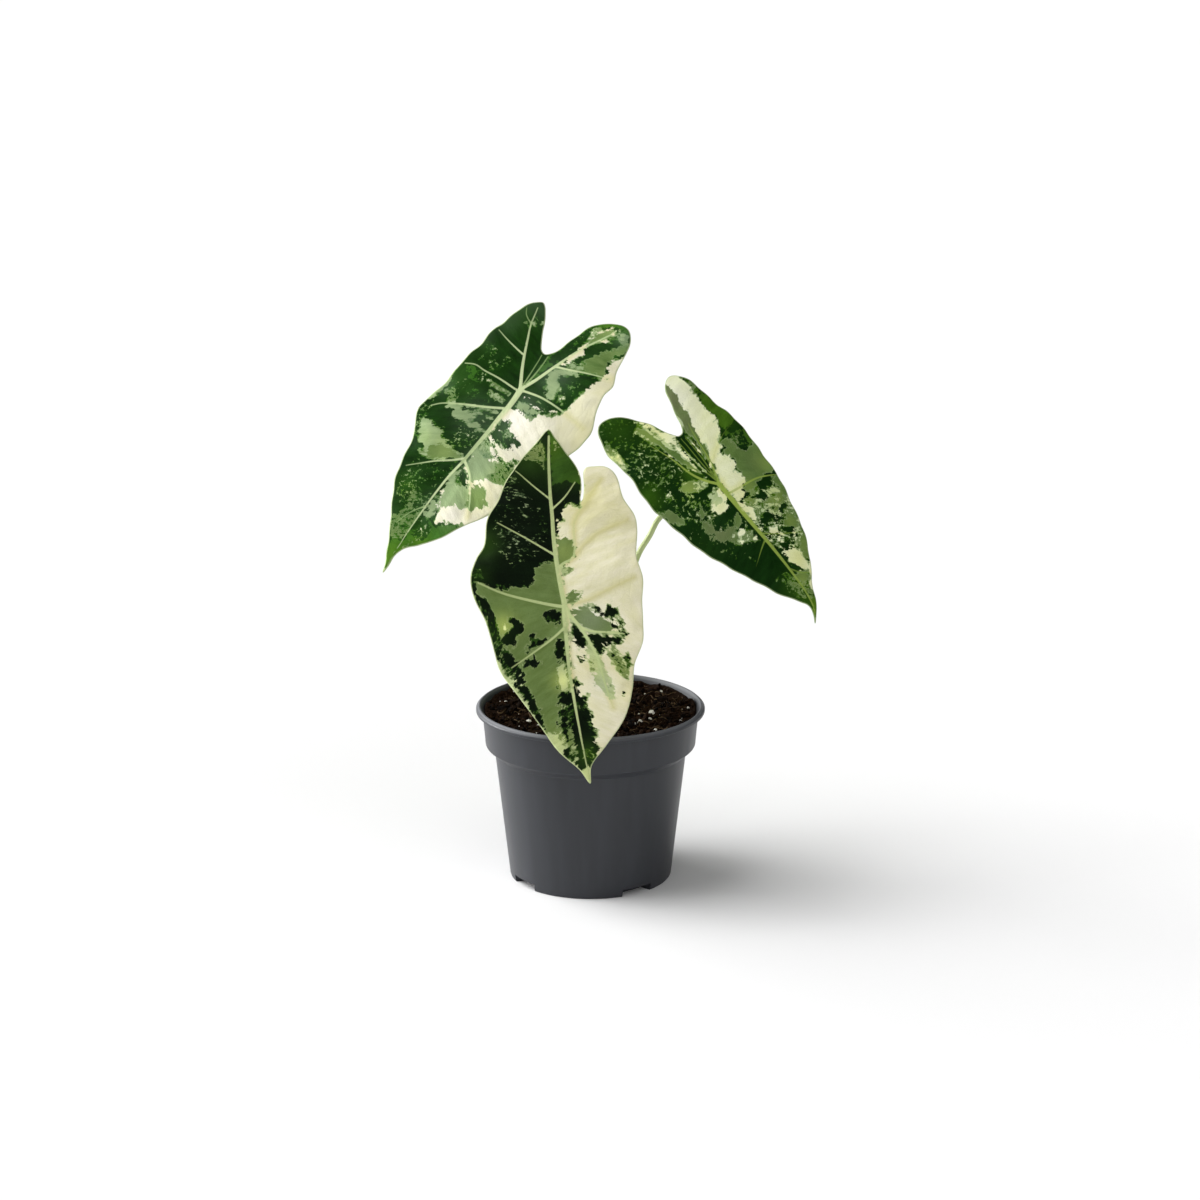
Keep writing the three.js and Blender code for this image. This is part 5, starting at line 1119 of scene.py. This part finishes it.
def scatter(name, places, finish, subdivisions, dent, sink, shape=(1, 0.75, 0.6)):
    """Lumps of the given (x, y, size), each turned, stretched and dented by chance, as one mesh."""
    base, faces = ball(subdivisions)
    all_points, all_faces, tints = [], [], []
    for x, y, size in places:
        lump = base * (1 + draw.uniform(-dent, dent, (len(base), 1)))
        lump = lump * np.array(shape) * draw.uniform(0.75, 1.2, 3) * size / 2
        lump = lump @ turned_at_random().T + (x, y, soil_height(x, y) + size * sink)
        all_faces.append(faces + len(all_points) * len(base))
        all_points.append(lump)
        tints.append(np.full(len(base), draw.uniform(0, 1)))
    made = piece(name, np.concatenate(all_points), np.concatenate(all_faces), [finish])
    store(made, "tint", np.concatenate(tints))


def make_crumbs_and_chips(finish):
    """Crumbs of peat, most of them near 1 mm and a few up to 4 mm, and flat chips of bark."""
    crumbs = []
    for _ in range(CRUMB_COUNT):
        size = 0.9 + 3.2 * draw.uniform(0, 1) ** 2.6
        crumbs.append((*soil_place(SOIL_TOP_RADIUS - 0.6 - size / 2), size))
    scatter("soil_crumbs", crumbs, finish, subdivisions=1, dent=0.3, sink=0.22)
    chips = [(*soil_place(50), draw.uniform(3.5, 7)) for _ in range(CHIP_COUNT)]
    scatter("bark_chips", chips, finish, subdivisions=2, dent=0.14, sink=0.1, shape=(1.1, 0.6, 0.25))


def make_perlite_grains(finish):
    """The larger grains on the open side, listed one by one, then small ones all over."""
    grains = [(38, 33, 1.6), (48.5, 14, 1.6), (51.5, 2, 2), (32, -8, 3.9), (31, -18.4, 1.9), (26, -22, 2),
              (23, -26, 1.5), (47, -16, 2), (47, -22.4, 1.9), (22.7, -38, 2), (33.5, -37.6, 1.7),
              (29, 27, 1.4), (41.7, -19.4, 1.3), (-32, -20, 2.6), (-45, 12, 1.7), (8, -42, 1.8)]
    for _ in range(SMALL_GRAIN_COUNT):
        grains.append((*soil_place(52), 0.6 + 1.1 * draw.uniform(0, 1) ** 2))
    scatter("perlite_grains", grains, finish, subdivisions=2, dent=0.16, sink=0.28, shape=(1, 0.85, 0.75))


def make_coir_fibres(finish):
    """Loose fibres, each a bent strand of four sides that follows the soil."""
    joints, reach = 7, 53
    points, faces = [], []
    for _ in range(FIBRE_COUNT):
        x, y = soil_place(50)
        heading, bend = draw.uniform(0, math.tau), draw.normal(0, 0.25)
        width, step = draw.uniform(0.12, 0.3), draw.uniform(0.5, 1.3)
        lift, first = draw.uniform(0.3, 1.1), len(points)
        for k in range(joints):
            z = soil_height(x, y) + lift + 0.35 * math.sin(k)
            side = (-math.sin(heading) * width, math.cos(heading) * width)
            for sx, sz in ((1, 0), (0, 1.4), (-1, 0), (0, -1.4)):
                points.append((x + sx * side[0], y + sx * side[1], z + sz * width))
            x += step * math.cos(heading)
            y += step * math.sin(heading)
            heading += bend
            if math.hypot(x, y) > reach + 0.5:
                x, y = x * reach / math.hypot(x, y), y * reach / math.hypot(x, y)
        last = first + 4 * (joints - 1)
        faces += grid_faces(joints, 4, wrap=True, first=first)
        faces += [tuple(first + k for k in (3, 2, 1, 0)), tuple(last + k for k in range(4))]
    made = piece("coir_fibres", points, faces, [finish])
    store(made, "tint", [0.9] * len(points))


# ---------------------------------------------------------------- crown


def make_crown(finish):
    """The rhizome's top: a fleshy knob with ring scars where older leaves sat."""
    sides, rows = 72, 40
    foot, scar_spacing = 73, 3.1
    profile = [(0, foot - 1), (CROWN_RADIUS * 0.9, foot - 1)]
    for k in range(rows):
        t = k / (rows - 1)
        radius = CROWN_RADIUS * (1 - 0.08 * t) * math.sqrt(max(1 - max(0, (t - 0.55) / 0.47) ** 2.2, 0.02))
        profile.append((radius, foot + (CROWN_TOP - foot) * t))
    profile.append((0, CROWN_TOP + 0.1))
    points, faces = lathe(profile, sides, CROWN_CENTRE)
    scars = np.zeros(len(points))
    for i, (x, y, z) in enumerate(points):
        away = Vector((x - CROWN_CENTRE[0], y - CROWN_CENTRE[1], 0))
        angle = math.atan2(away.y, away.x)
        ring = math.sin((z + 0.8 * math.sin(angle + 1)) * math.tau / scar_spacing)
        scars[i] = max(0, ring) ** 3 * 0.6 + 0.5 * (z < SOIL_HEIGHT + 1.5)
        bump = 0.35 * ring + 0.6 * noise.noise(Vector((x / 4, y / 4, z / 4)))
        if away.length > 2:
            points[i] += np.array(away.normalized()) * bump
    crown = piece("rhizome_crown", points, faces, [finish], ["crown"], sharp=180)
    store(crown, "scar", scars)


def thick_sheet(rows, columns, place, thickness):
    """A thin closed sheet on a grid. place(t, s), both from 0 to 1, gives a point and its outward side."""
    outer, inner = [], []
    for i in range(rows):
        for j in range(columns):
            point, out = place(i / (rows - 1), j / (columns - 1))
            outer.append(np.array(point) + np.array(out) * thickness / 2)
            inner.append(np.array(point) - np.array(out) * thickness / 2)
    count = rows * columns
    faces = grid_faces(rows, columns)
    faces += [tuple(count + i for i in reversed(face)) for face in faces]
    border = list(range(columns))
    border += [i * columns + columns - 1 for i in range(1, rows)]
    border += [(rows - 1) * columns + j for j in range(columns - 2, -1, -1)]
    border += [i * columns for i in range(rows - 2, 0, -1)]
    for a, b in zip(border, border[1:] + border[:1]):
        faces.append((b, a, a + count, b + count))
    return outer + inner, faces


# each dry leaf base: compass angle, width in degrees, height, and distance from the crown's middle
SHEATHS = [(200, 70, 9, 11.2), (80, 60, 13, 11.0), (320, 55, 7, 11.4), (140, 50, 17, 9.4)]


def make_papery_sheaths(finish):
    """Dry brown remains of old leaf bases, curled round the crown and torn along the top."""
    points, faces = [], []
    for centre, width, height, radius in SHEATHS:
        def place(t, s, centre=centre, width=width, height=height, radius=radius):
            angle = math.radians(centre + (s - 0.5) * width * (1 - 0.55 * t))
            torn = 1.6 * noise.noise(Vector((s * 7, centre, 0)))
            z = SOIL_HEIGHT - 3 + t * (height + torn)
            lean = radius + 0.9 * t * t + 0.4 * math.sin(s * 9 + t * 4)
            out = (math.cos(angle), math.sin(angle), 0.1)
            return (CROWN_CENTRE[0] + out[0] * lean, CROWN_CENTRE[1] + out[1] * lean, z), out

        sheet, sheet_faces = thick_sheet(16, 22, place, 0.35)
        faces += [tuple(len(points) + i for i in face) for face in sheet_faces]
        points += sheet
    made = piece("papery_sheaths", points, faces, [finish], sharp=60)
    along = np.array(points)
    angle = np.arctan2(along[:, 1] - CROWN_CENTRE[1], along[:, 0] - CROWN_CENTRE[0])
    store(made, "stalk_place", np.stack([angle * 11, along[:, 2] * 0.08, along[:, 2] * 0], axis=1))


# ---------------------------------------------------------------- blade surface


def blade_frame(blade):
    """Three directions: out of the blade's face, along it towards the tip, and to its side."""
    tilt, yaw, spin = (math.radians(blade[name]) for name in ("tilt", "yaw", "spin"))
    face = np.array([math.sin(yaw) * math.cos(tilt), -math.cos(yaw) * math.cos(tilt), math.sin(tilt)])
    down = np.array([0, 0, -1.0])
    down -= face * (down @ face)
    down /= np.linalg.norm(down)
    side = np.cross(face, down)
    along = down * math.cos(spin) + side * math.sin(spin)
    return face, along, np.cross(face, along)


def on_blade(blade, places, lift):
    """The points `lift` above the skin's middle, at places given on the flat blade.

    The blade bends over its length, folds up along the midrib, curls down at its sides and waves.
    """
    face, forward, sideways = blade_frame(blade)
    across, along = places[:, 0], places[:, 1]
    more_fold = blade["fold_tip"] - blade["fold_lobe"]
    fold = np.radians(blade["fold_lobe"] + more_fold * smooth(-15, 15, along))
    start = np.where(across < 0, blade["wave_start"][0], blade["wave_start"][1])
    wave = np.sin(2 * math.pi * (along - start) / blade["wave_length"]) * smooth(8, 38, np.abs(across))
    rise = np.tan(fold) * (np.hypot(across, VALLEY_RADIUS) - VALLEY_RADIUS)
    rise += blade["wave"] * wave - blade["curl"] * across ** 2
    bend = np.where(along >= 0, blade["bend_tip"], blade["bend_lobe"])
    turn, side = bend * np.abs(along), np.sign(along)
    normal = face * np.cos(turn)[:, None] + forward * (np.sin(turn) * side)[:, None]
    points = np.array(blade["joint"], float) + forward * (side * np.sin(turn) / bend)[:, None]
    points += face * ((np.cos(turn) - 1) / bend)[:, None] + sideways * across[:, None]
    return points + normal * (rise + lift)[:, None]


def thinned(groups):
    """Points of several groups, each with its own spacing, without those too near an earlier one."""
    kept, cells = [], {}
    size = 2.0  # of a cell, more than the widest spacing
    for points, gap in groups:
        for point in points:
            cell = (int(point[0] // size), int(point[1] // size))
            near = (kept[i] for dx in (-1, 0, 1) for dy in (-1, 0, 1)
                    for i in cells.get((cell[0] + dx, cell[1] + dy), ()))
            if any((point[0] - q[0]) ** 2 + (point[1] - q[1]) ** 2 < gap * gap for q in near):
                continue
            cells.setdefault(cell, []).append(len(kept))
            kept.append((float(point[0]), float(point[1])))
    return kept


def flat_mesh(rim, veins):
    """Fine triangles of the flat blade: rows along its rim and its veins, and an even field between."""
    groups = [(rim, 0.0)]
    inwards = np.roll(rim, -1, axis=0) - np.roll(rim, 1, axis=0)
    inwards = np.stack([-inwards[:, 1], inwards[:, 0]], axis=1) / np.linalg.norm(inwards, axis=1)[:, None]
    area = (rim[:, 0] * np.roll(rim[:, 1], -1) - np.roll(rim[:, 0], -1) * rim[:, 1]).sum()
    inwards *= 1 if area > 0 else -1
    for depth in (0.35, 0.8, 1.5):  # rows inside the rim
        row = rim + inwards * depth
        groups.append((row[inner_distance(row, rim) > 0.85 * depth], 0.6 * RIM_STEP))
    for kind, _, _, line in veins:
        step = np.gradient(line, axis=0)
        side = np.stack([-step[:, 1], step[:, 0]], axis=1) / np.linalg.norm(step, axis=1)[:, None]
        for row in (0, 0.5, -0.5, 1, -1, 1.7, -1.7):  # rows beside the vein, in its half widths
            points = line + side * row * kind["half"]
            groups.append((points[inner_distance(points, rim) > 0.7], 0.42 * kind["half"]))
    low, high = rim.min(0), rim.max(0)
    rows = np.arange(low[1], high[1], SKIN_STEP * math.sqrt(3) / 2)
    field = [(x + (k % 2) * SKIN_STEP / 2, y) for k, y in enumerate(rows)
             for x in np.arange(low[0], high[0], SKIN_STEP)]
    field = np.array(field) + draw.uniform(-0.05, 0.05, (len(field), 2))
    field = field[inner_distance(field, rim) > 0.8]
    groups.append((field, 0.68 * SKIN_STEP))
    points = thinned(groups)
    loop = [(i, (i + 1) % len(rim)) for i in range(len(rim))]
    made = geometry.delaunay_2d_cdt([Vector(p) for p in points], loop, [], 1, 1e-6, False)
    places, triangles = np.array([v[:] for v in made[0]]), np.array(made[2])
    return places, triangles[inside(places[triangles].mean(1), rim)]


def painted(blade, places):
    """The blade's colour fields: distance to each tone's border, how far borders fray, and the soft ones.

    Each patch is laid over the ones before it. A plain ink moves the borders of the tones up to its own
    to its outline; a torn one blends in the distances and the fray of its row in TORN.
    """
    levels = np.full((4, len(places)), -float(FIELD_LIMIT))
    level = TONES.index(blade["base"])
    levels[:level] = FIELD_LIMIT
    fray = np.full(len(places), PLAIN_FRAY)
    for ink, corners in blade["patches"]:
        reach = np.clip(inner_distance(places, np.array(corners, float)), -FIELD_LIMIT, FIELD_LIMIT)
        if ink in TORN:
            *aims, amount = TORN[ink]
            share = smooth(-1.2, 1.0, reach)
            for k, aim in enumerate(aims):
                levels[k] += (aim - levels[k]) * share
            fray += (amount - fray) * share
            continue
        tone = TONES.index(ink.split()[-1])
        amount = SMOOTH_FRAY if ink.startswith("smooth") else PLAIN_FRAY
        for k in range(4):
            levels[k] = np.maximum(levels[k], reach) if tone > k else np.minimum(levels[k], -reach)
        blend_from = -1.6 if amount < PLAIN_FRAY else -0.4
        fray += (amount - fray) * smooth(blend_from, 0.8, reach)
    soft = {}
    for name in SOFT_FIELDS:
        total = np.zeros(len(places))
        for across, along, radius, strength in blade[name]:
            away = np.hypot(places[:, 0] - across, places[:, 1] - along)
            total = np.maximum(total, strength * np.exp(-(away / radius) ** 2))
        soft[name] = total
    return levels, fray, soft


def make_blade(name, node, blade, top_finish, under_finish):
    """A leaf blade: a thin sheet with raised ribs, puffed skin between them and its colour fields."""
    rim = spline(blade["outline"], RIM_STEP, closed=True)
    veins = [(kind, start, end, spline(path, VEIN_STEP)) for kind, start, end, path in blade["veins"]]
    places, triangles = flat_mesh(rim, veins)
    within, _ = to_line(places, rim, closed=True)

    far = 99.0  # farther from a vein than any place lies
    nearest, vein_edge = np.full(len(places), far), np.full(len(places), far)
    over, under, vein_share = (np.zeros(len(places)) for _ in range(3))
    for kind, start, end, line in veins:
        distance, where = to_line(places, line)
        shape = np.exp(-(distance / kind["half"]) ** 2) * (1 - 0.55 * where)
        nearest = np.minimum(nearest, distance)
        over, under = np.maximum(over, kind["over"] * shape), np.maximum(under, kind["under"] * shape)
        edge = distance - (start + (end - start) * where)
        vein_share = np.where(edge < vein_edge, kind["share"] * (1 - 0.35 * where), vein_share)
        vein_edge = np.minimum(vein_edge, edge)

    across, along = places[:, 0], places[:, 1]
    swell = PUFF * smooth(0, PUFF_REACH, nearest) * smooth(0, PUFF_REACH, within)
    # side veins leave the midrib at about 27 degrees forwards, and point backwards in the lobes
    slant = -0.25 + 0.75 * smooth(-25, 25, along)
    lateral = along - slant * np.abs(across)
    # between the veins the skin is quilted, buckled and creased; near the rim it flutters
    quilt = 0.07 * np.sin(lateral * math.tau / 5.2) * smooth(1, 6, nearest) * smooth(0, 5, within)
    buckle = np.array([noise.noise(Vector((x / 11, y / 11, 2.0))) for x, y in places]) * 0.55
    crease = np.array([noise.noise(Vector((x / 3.5, y / 6, 5.0))) for x, y in places]) * 0.14
    flutter = 0.45 * np.sin(along * math.tau / 13 + across / 9) * (1 - smooth(0, 9, within))
    skin = swell + quilt + (buckle + crease) * smooth(0, 4, nearest) + flutter
    joint = JOINT_SWELL * np.exp(-(np.hypot(across, along) / JOINT_SWELL_RADIUS) ** 2)
    ends = smooth(0, 3, within)
    half_thickness = RIM_THICKNESS / 2 + (BLADE_THICKNESS - RIM_THICKNESS) / 2 * smooth(0, 1.2, within)
    top = on_blade(blade, places, skin + over * ends + half_thickness)
    bottom = on_blade(blade, places, skin - np.maximum(under, joint) * ends - half_thickness)

    # the upper skin, a band round the rim, then the underside
    count = len(places)
    faces = [(c, b, a) for a, b, c in triangles]
    border = {}
    for a, b, c in triangles:
        for edge in ((a, b), (b, c), (c, a)):
            if edge[::-1] in border:
                del border[edge[::-1]]
            else:
                border[edge] = True
    faces += [(b + count, a + count, a, b) for a, b in border]
    upper = len(faces)
    faces += [(a + count, b + count, c + count) for a, b, c in triangles]
    made = piece(name, np.concatenate([top, bottom]), faces, [top_finish, under_finish],
                 [node], sharp=180)
    made.data.polygons.foreach_set("material_index", [0] * upper + [1] * (len(faces) - upper))

    levels, fray, soft = painted(blade, places)
    for k, tone in enumerate(TONES[1:]):
        store(made, f"to_{tone}", np.tile(levels[k], 2))
    store(made, "fray", np.tile(fray, 2))
    for name in SOFT_FIELDS:
        store(made, name, np.tile(soft[name], 2))
    store(made, "vein", np.tile(vein_edge, 2))
    store(made, "vein_share", np.tile(vein_share, 2))
    store(made, "rim", np.tile(within, 2))
    flat = np.stack([across, along, across * 0], axis=1)
    place = np.stack([across * 0.55, lateral, np.where(across < 0, 40.0, 0.0)], axis=1)
    store(made, "leaf_flat", np.tile(flat, (2, 1)))
    store(made, "leaf_place", np.tile(place, (2, 1)))


# ---------------------------------------------------------------- stalks


def stalk_line(stalk, steps):
    """Centre points in even steps, two side directions that don't twist, and the length."""
    face, _, _ = blade_frame(stalk["blade"])
    seat = np.array(stalk["blade"]["joint"]) - face * (BLADE_THICKNESS / 2 + MIDRIB["under"])
    fine = spline([*stalk["path"], tuple(seat)], 0.5)
    travelled = np.concatenate([[0], np.cumsum(np.linalg.norm(np.diff(fine, axis=0), axis=1))])
    wanted = np.linspace(0, travelled[-1], steps)
    centres = np.stack([np.interp(wanted, travelled, fine[:, axis]) for axis in range(3)], axis=1)
    ahead = np.gradient(centres, axis=0)
    ahead /= np.linalg.norm(ahead, axis=1)[:, None]
    first = np.array([CROWN_CENTRE[0], CROWN_CENTRE[1], STALK_FOOT]) - centres[0]
    sides = []
    for direction in ahead:
        first = first - direction * (first @ direction)
        first /= np.linalg.norm(first)
        sides.append(first.copy())
    sides = np.array(sides)
    return centres, sides, np.cross(ahead, sides), travelled[-1]


def stalk_radius(t):
    """The radius at a share of the stalk's length."""
    return np.interp(t * (len(STALK_RADII) - 1), range(len(STALK_RADII)), STALK_RADII)


def soil_stain(height, fade):
    """How brown the foot is at a height, fading out that many mm above the soil."""
    return 0.9 * (1 - smooth(SOIL_HEIGHT - 2, SOIL_HEIGHT + fade, height))


def make_stalk(name, node, stalk, finish):
    """A tapering stalk with faint ridges. Its foot is a sheath: two thin wings, open towards the crown."""
    steps, ring = 110, 28
    centres, sides, others, length = stalk_line(stalk, steps)
    points, place, stain = [], [], []
    for i in range(steps):
        t = i / (steps - 1)
        for k in range(ring):
            angle = math.tau * k / ring
            ridge = 1 + 0.035 * math.cos(7 * angle + 2 * t) * (1 - 0.5 * t)
            groove = 1 - 0.13 * math.exp(-(min(angle, math.tau - angle) / 0.5) ** 2)
            flare = 1 + 0.5 * smooth(0.97, 1.0, t)
            reach = stalk_radius(t) * ridge * groove * flare
            point = centres[i] + (sides[i] * math.cos(angle) + others[i] * math.sin(angle)) * reach
            points.append(point)
            place.append((angle * 2.4, t * length * 0.06, 0))
            stain.append(soil_stain(point[2], 11))
    faces = grid_faces(steps, ring, wrap=True)
    faces += [tuple(range(ring))[::-1], tuple((steps - 1) * ring + k for k in range(ring))]
    wing_end = 0.34 if length > 100 else 0.5  # as a share of the stalk's length
    for turn in (-1, 1):
        def wing(t, s, turn=turn):
            at = t * wing_end * (steps - 1)
            i, share = min(int(at), steps - 2), at - int(at)
            centre = centres[i] + (centres[i + 1] - centres[i]) * share
            spread = math.radians(62 - 26 * s) * turn
            reach = stalk_radius(at / (steps - 1)) * 0.85
            reach += s * 3.4 * (1 - t) ** 0.8 * (1 + 0.12 * math.sin(t * 21 + turn))
            out = sides[i] * math.cos(spread) + others[i] * math.sin(spread)
            across = -sides[i] * math.sin(spread) + others[i] * math.cos(spread)
            return centre + out * reach, across

        sheet, sheet_faces = thick_sheet(36, 6, wing, 0.4)
        faces += [tuple(len(points) + i for i in face) for face in sheet_faces]
        for point in sheet:
            place.append((point[0] * 0.9, point[2] * 0.06, 4.0 * turn))
            stain.append(soil_stain(point[2], 14))
        points += sheet
    made = piece(name, points, faces, [finish], [node], sharp=70)
    store(made, "stalk_place", place)
    store(made, "to_foot", stain)


# ---------------------------------------------------------------- the object

# Each tone is brushed between two hues, and has a golden and an ashen one that the soft fields call up.
# Night has no golden one, and its ashen one is a painted sheen.
# The cream's golden hue also colours the painted shade in the folds along its veins.
left_tones = {
    "night": ("#0a2602", "#173c08", "#64795f"),
    "green": ("#2a5213", "#3a6a1d", "#56801d", "#56704a"),
    "sage": ("#506c34", "#698147", "#839857", "#73876a"),
    "silver": ("#7f9667", "#9eb183", "#97ab63", "#7d8f68"),
    "cream": ("#dad7c0", "#d2cfae", "#cfca94", "#e8e4d8"),
}
front_tones = {
    "night": ("#030b02", "#081605", "#0a1507"),
    "green": ("#243d10", "#305018", "#4a6c16", "#3a4a30"),
    "sage": ("#5c7039", "#6b8049", "#93a354", "#7d8a68"),
    "silver": ("#93a36c", "#b9c48f", "#d8e094", "#9fa78e"),
    "cream": ("#e4dfc4", "#d9d5ac", "#c3bd7a", "#d9dacc"),
}
right_tones = {
    "night": ("#052201", "#0f3007", "#1e3f17"),
    "green": ("#31560d", "#436b18", "#587a1a", "#3f5a2c"),
    "sage": ("#4b672e", "#617e41", "#82994a", "#6e7851"),
    "silver": ("#a3b87e", "#c4d2a4", "#c4cf82", "#a3af90"),
    "cream": ("#ecf0cc", "#e4e9b8", "#dadd92", "#e9ebd2"),
}
under_tones = {
    "night": ("#456034", "#4f6b3d", "#566c4a"),
    "green": ("#57753f", "#607e47", "#708a42", "#647a56"),
    "sage": ("#7f9660", "#8aa26b", "#98a865", "#8a9c7c"),
    "silver": ("#a8b988", "#b9c79c", "#bcc68c", "#b0bb9f"),
    "cream": ("#d9dab6", "#cfd2aa", "#cccb96", "#dddcc8"),
}
underside = blade_finish("leaf_underside", under_tones, ("#c9d5a4", "#b4c48c"), "#c9d3a4", under=True)
left_velvet = blade_finish("leaf_velvet_left", left_tones, ("#c3d19f", "#86a465"), "#bfcd9c")
front_velvet = blade_finish("leaf_velvet_front", front_tones, ("#bcc98e", "#98a669"), "#c0cb98",
                            fleck_size=1.1, streaked=True)
right_velvet = blade_finish("leaf_velvet_right", right_tones, ("#99af4e", "#7a963c"), "#a9b98a",
                            fleck_size=1.9)
stalk_skin = stalk_finish()

make_pot(pot_finish())
make_soil_bed(peat_finish("peat_mix", "#050200", "#261506"))
make_crumbs_and_chips(peat_finish("peat_crumbs", "#060200", "#301f11"))
make_perlite_grains(perlite_finish())
make_coir_fibres(peat_finish("coir_fibre", "#30241a", "#62503b"))
make_crown(crown_finish())
make_papery_sheaths(papery_finish())
make_stalk("petiole_left_skin", "petiole_left", left_stalk, stalk_skin)
make_stalk("petiole_front_skin", "petiole_front", front_stalk, stalk_skin)
make_stalk("petiole_right_skin", "petiole_right", right_stalk, stalk_skin)
make_blade("leaf_left", "blade_left", left_blade, left_velvet, underside)
make_blade("leaf_front", "blade_front", front_blade, front_velvet, underside)
make_blade("leaf_right", "blade_right", right_blade, right_velvet, underside)

# ---------------------------------------------------------------- floor, light and camera

ROOM_LIGHT = (0.03, 0.55)  # the white room is dim on the right and bright on the left
ROOM_SEEN = 1.05  # how bright the room is where it is looked at
# each lamp: name, power, width in degrees as seen from the plant, compass angle and height it shines from
LAMPS = [
    ("key_softbox", 2.7, 60, 162, 22),
    ("top_softbox", 1.6, 45, 185, 60),
    ("fill_softbox", 1.0, 70, 300, 28),
    ("side_strip", 8.0, 24, 163, -4),  # only its upper edge clears the floor
]
FLOOR_REACH = 9.0  # metres to each side
LENS = 85.5
LENS_FRAME = 36
CAMERA_PLACE = (0.005, -1.43368, 0.53662)
CAMERA_TILT = 74.9  # degrees up from looking straight down


def make_stage():
    """A plain white floor, large enough to fill the view from any side."""
    made, tree = finish_tree("white_floor")
    where = add(tree, "ShaderNodeTexCoord", out="Object")
    grain = add(tree, "ShaderNodeTexNoise", {"Vector": where, "Scale": 900.0, "Detail": 2})
    tone = add(tree, "ShaderNodeMapRange", {"Value": grain, "To Min": 0.87, "To Max": 0.89})
    finish_skin(made, tree, {"Base Color": tone, "Roughness": 0.9, "Specular IOR Level": 0.1})
    mesh = bpy.data.meshes.new("floor")
    corners = [(x * FLOOR_REACH, y * FLOOR_REACH, 0) for x, y in ((-1, -1), (1, -1), (1, 1), (-1, 1))]
    mesh.from_pydata(corners, [], [(0, 1, 2, 3)])
    mesh.materials.append(made)
    floor = bpy.data.objects.new("floor", mesh)
    bpy.context.scene.collection.objects.link(floor)


def make_light():
    """A white room, softboxes from the left, above and the right, and a low strip on the left."""
    world = bpy.data.worlds.new("white_room")
    world.use_nodes = True
    tree = world.node_tree
    tree.nodes.clear()
    seen = add(tree, "ShaderNodeLightPath", out="Is Camera Ray")
    direction = add(tree, "ShaderNodeTexCoord", out="Generated")
    side = add(tree, "ShaderNodeSeparateXYZ", {"Vector": direction}, out="X")
    room = add(tree, "ShaderNodeMapRange", {"Value": side, "From Min": 0.5, "From Max": -1.0,
                                            "To Min": ROOM_LIGHT[0], "To Max": ROOM_LIGHT[1]})
    strength = add(tree, "ShaderNodeMix", {0: seen, 2: room, 3: ROOM_SEEN}, out=0)
    back = add(tree, "ShaderNodeBackground", {"Color": (1, 1, 1, 1), "Strength": strength})
    add(tree, "ShaderNodeOutputWorld", {"Surface": back})
    bpy.context.scene.world = world
    for name, power, width, compass, height in LAMPS:
        lamp = bpy.data.lights.new(name, "SUN")
        lamp.energy = power
        lamp.angle = math.radians(width)
        made = bpy.data.objects.new(name, lamp)
        compass, height = math.radians(compass), math.radians(height)
        towards = Vector((math.cos(compass) * math.cos(height), math.sin(compass) * math.cos(height),
                          math.sin(height)))
        made.rotation_euler = towards.to_track_quat("Z", "Y").to_euler()
        bpy.context.scene.collection.objects.link(made)


def make_camera():
    """In front of the plant and a little above it, tilted down towards it."""
    lens = bpy.data.cameras.new("camera")
    lens.lens = LENS
    lens.sensor_width = LENS_FRAME
    made = bpy.data.objects.new("camera", lens)
    made.location = CAMERA_PLACE
    made.rotation_euler = (math.radians(CAMERA_TILT), 0, 0)
    bpy.context.scene.collection.objects.link(made)
    bpy.context.scene.camera = made


make_stage()
make_light()
make_camera()
bpy.context.scene.view_settings.view_transform = "Standard"
